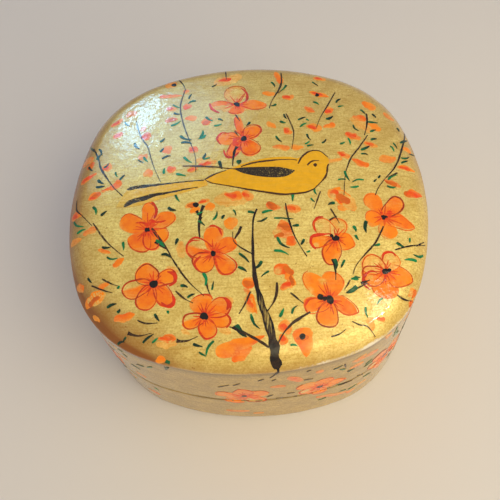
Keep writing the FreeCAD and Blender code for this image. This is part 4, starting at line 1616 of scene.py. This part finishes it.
front_left, front_right = [seen_on_box(pixel) for pixel in FRONT_BLOSSOMS.values()]
front_start = distance_round(front_left)
gap = (girth - (distance_round(front_right) - front_start) % girth) / BLOSSOM_GAPS
wall_blossom(front_start, front_left.z)
for number in range(BLOSSOM_GAPS - 1):
    middle = distance_round(front_right) + gap * number
    height = front_right.z
    if number:
        height = BLOSSOM_HEIGHT + hand.uniform(-BLOSSOM_RISE, BLOSSOM_RISE) * MM
        middle += hand.uniform(-BLOSSOM_DRIFT, BLOSSOM_DRIFT) * MM
    wall_blossom(middle, height)
    between = middle + gap / 2
    for level in BUD_LEVELS:
        wall_stroke(petals, between + hand.uniform(-4, 2) * MM, level + hand.uniform(-1, 1) * MM,
                    hand.uniform(*BUD_LENGTHS) * MM, hand.uniform(-0.5, 0.5), hand.uniform(*BUD_WIDTHS) * MM,
                    PETAL_LIFT, dab_profile, mottled(hand.uniform(0.5, 0.95)), hand.uniform(0.1, 0.8))
    twig = [on_wall(between + hand.uniform(-TWIG_SWAY, TWIG_SWAY) * MM, level) for level in TWIG_LEVELS]
    if 0 < number < BLOSSOM_GAPS - 2:
        brush_line(twigs, twig[:3], STEM_WIDTH, BRANCH_LIFT, wash=heavy)
        brush_line(twigs, twig[2:], STEM_WIDTH, BRANCH_LIFT, wash=heavy)
    for count in range(LEAVES_PER_GAP):
        level = hand.uniform(*LEAF_LEVELS) * MM
        lean = hand.choice((-1, 1)) * hand.uniform(0.1, 0.9) + hand.choice((0, math.pi))
        wall_stroke(leaves, middle + hand.uniform(0.1, 0.95) * gap, level, hand.uniform(*LEAF_LENGTHS) * MM,
                    lean, LEAF_WIDTH * hand.uniform(0.8, 1.2), LEAF_LIFT, leaf_profile, heavy,
                    hand.uniform(0.1, 1))
for mark in FRONT_BUDS:
    start, end, width = mark_on_box(mark)
    dab(petals, start, end, 2 * width, PETAL_LIFT, wash=mottled(0.8), tint=hand.uniform(0.3, 0.9))
for pixels in FRONT_STROKES:
    brush_line(twigs, route_on_box((pixels[:2], pixels[2:])), 1.3 * STEM_WIDTH, BRANCH_LIFT, wash=heavy)
finish_paint("wall_petals", petals, orange_wash, BOTH_BODIES)
finish_paint("wall_petal_outlines", outlines, red_line, BOTH_BODIES)
finish_paint("wall_blossom_hearts", hearts, heart_black, BOTH_BODIES)
finish_paint("wall_leaves", leaves, leaf_green, BOTH_BODIES)
finish_paint("wall_twigs", twigs, branch_brown, BOTH_BODIES)


# Floor and light
# A plain pale floor under plain soft light: an even room, a warm softbox above on the right, a low fill in
# front, a small lamp that glints on the lid's flank, and a cool window that the lacquer mirrors.
FLOOR_HALF_WIDTH = 1.5
FLOOR_ROUGHNESS = 0.8
ROOM_BRIGHTNESS = 0.48
# Each lamp's place, or the pixel that mirrors it and how far off it is, then its width, height,
# brightness and colour
OPEN_LAMPS = {
    "warm_softbox": (Vector((0.18, -0.15, 0.32)), 0.62, 0.62, 3.05, "#FFEFBE"),
    "low_fill": (Vector((0.46, -0.6, 0.28)), 0.8, 0.4, 1.9, "#FFE8C4"),
}
MIRRORED_LAMPS = {
    "small_lamp": ((376, 318), 0.5, 0.06, 0.06, 90, "#FFF6EA"),
    "lamp_shade": ((381, 306), 0.5, 0.09, 0.09, 9, "#FFF6EA"),
    "cool_window": ((157, 132), 0.6, 0.52, 0.4, 3.9, "#88D0FF"),
    "window_pane_0": ((152, 104), 0.6, 0.08, 0.08, 16, "#A0D8FF"),
    "window_pane_1": ((141, 126), 0.6, 0.06, 0.06, 19, "#A0D8FF"),
    "window_pane_2": ((131, 138), 0.6, 0.1, 0.1, 9, "#A0D8FF"),
}

floor_shape = bmesh.new()
bmesh.ops.create_grid(floor_shape, x_segments=1, y_segments=1, size=FLOOR_HALF_WIDTH)
floor_mesh = bpy.data.meshes.new("floor")
floor_shape.to_mesh(floor_mesh)
floor_shape.free()
floor = bpy.data.objects.new("floor", floor_mesh)
bpy.context.scene.collection.objects.link(floor)
floor_material, floor_surface = new_material("pale_floor")
floor_surface.inputs["Base Color"].default_value = from_hex("#DDD8D8")
floor_surface.inputs["Roughness"].default_value = FLOOR_ROUGHNESS
floor_mesh.materials.append(floor_material)

world = bpy.data.worlds.new("studio")
bpy.context.scene.world = world
world.use_nodes = True
sky = world.node_tree
direction = add_node(sky, "ShaderNodeTexCoord", {}).outputs["Generated"]
backwards = add_node(sky, "ShaderNodeSeparateXYZ", {"Vector": direction}).outputs["Y"]
behind = rescaled(sky, backwards, (-0.6, 0.8), (0, 1))
tone = mixed(sky, behind, from_hex("#FFF6EE"), from_hex("#D6E4FF"))
sky.links.new(tone, sky.nodes["Background"].inputs["Color"])
sky.nodes["Background"].inputs["Strength"].default_value = ROOM_BRIGHTNESS


def mirrored_at(pixel, distance):
    """The place, that far away, which the lacquer mirrors to the camera at a pixel of the photograph."""
    place, normal = ground.ray_cast(eye, sight(pixel))[:2]
    return place + sight(pixel).reflect(normal) * distance


def softbox(name, place, width, height, brightness, colour, only_mirrored=False):
    """A diffused lamp facing the lid, brightness times as bright as white paper in its middle."""
    light = bpy.data.lights.new(name, "AREA")
    light.shape = "RECTANGLE"
    light.size = width
    light.size_y = height
    light.energy = brightness * math.pi * width * height
    light.color = from_hex(colour)[:3]
    light.use_nodes = True
    tree = light.node_tree
    face = add_node(tree, "ShaderNodeNewGeometry", {}).outputs["Parametric"]
    from_middle = add_node(tree, "ShaderNodeVectorMath", {0: face, 1: (0.5, 0.5, 0)}, operation="DISTANCE")
    fade = add_node(tree, "ShaderNodeMapRange", {
        "Value": from_middle.outputs["Value"], "From Min": 0.1, "From Max": 0.5, "To Min": 1, "To Max": 0},
        interpolation_type="SMOOTHSTEP").outputs["Result"]
    tree.links.new(fade, tree.nodes["Emission"].inputs["Strength"])
    box = bpy.data.objects.new(name, light)
    box.visible_diffuse = not only_mirrored
    turn = (place - Vector((0, 0, shoulder))).to_track_quat("Z", "Y").to_matrix().to_4x4()
    box.matrix_world = Matrix.Translation(place) @ turn
    bpy.context.scene.collection.objects.link(box)


for name, lamp in OPEN_LAMPS.items():
    softbox(name, *lamp)
for name, (pixel, distance, *lamp) in MIRRORED_LAMPS.items():
    softbox(name, mirrored_at(pixel, distance), *lamp, only_mirrored=True)

bpy.context.scene.view_settings.view_transform = "Standard"
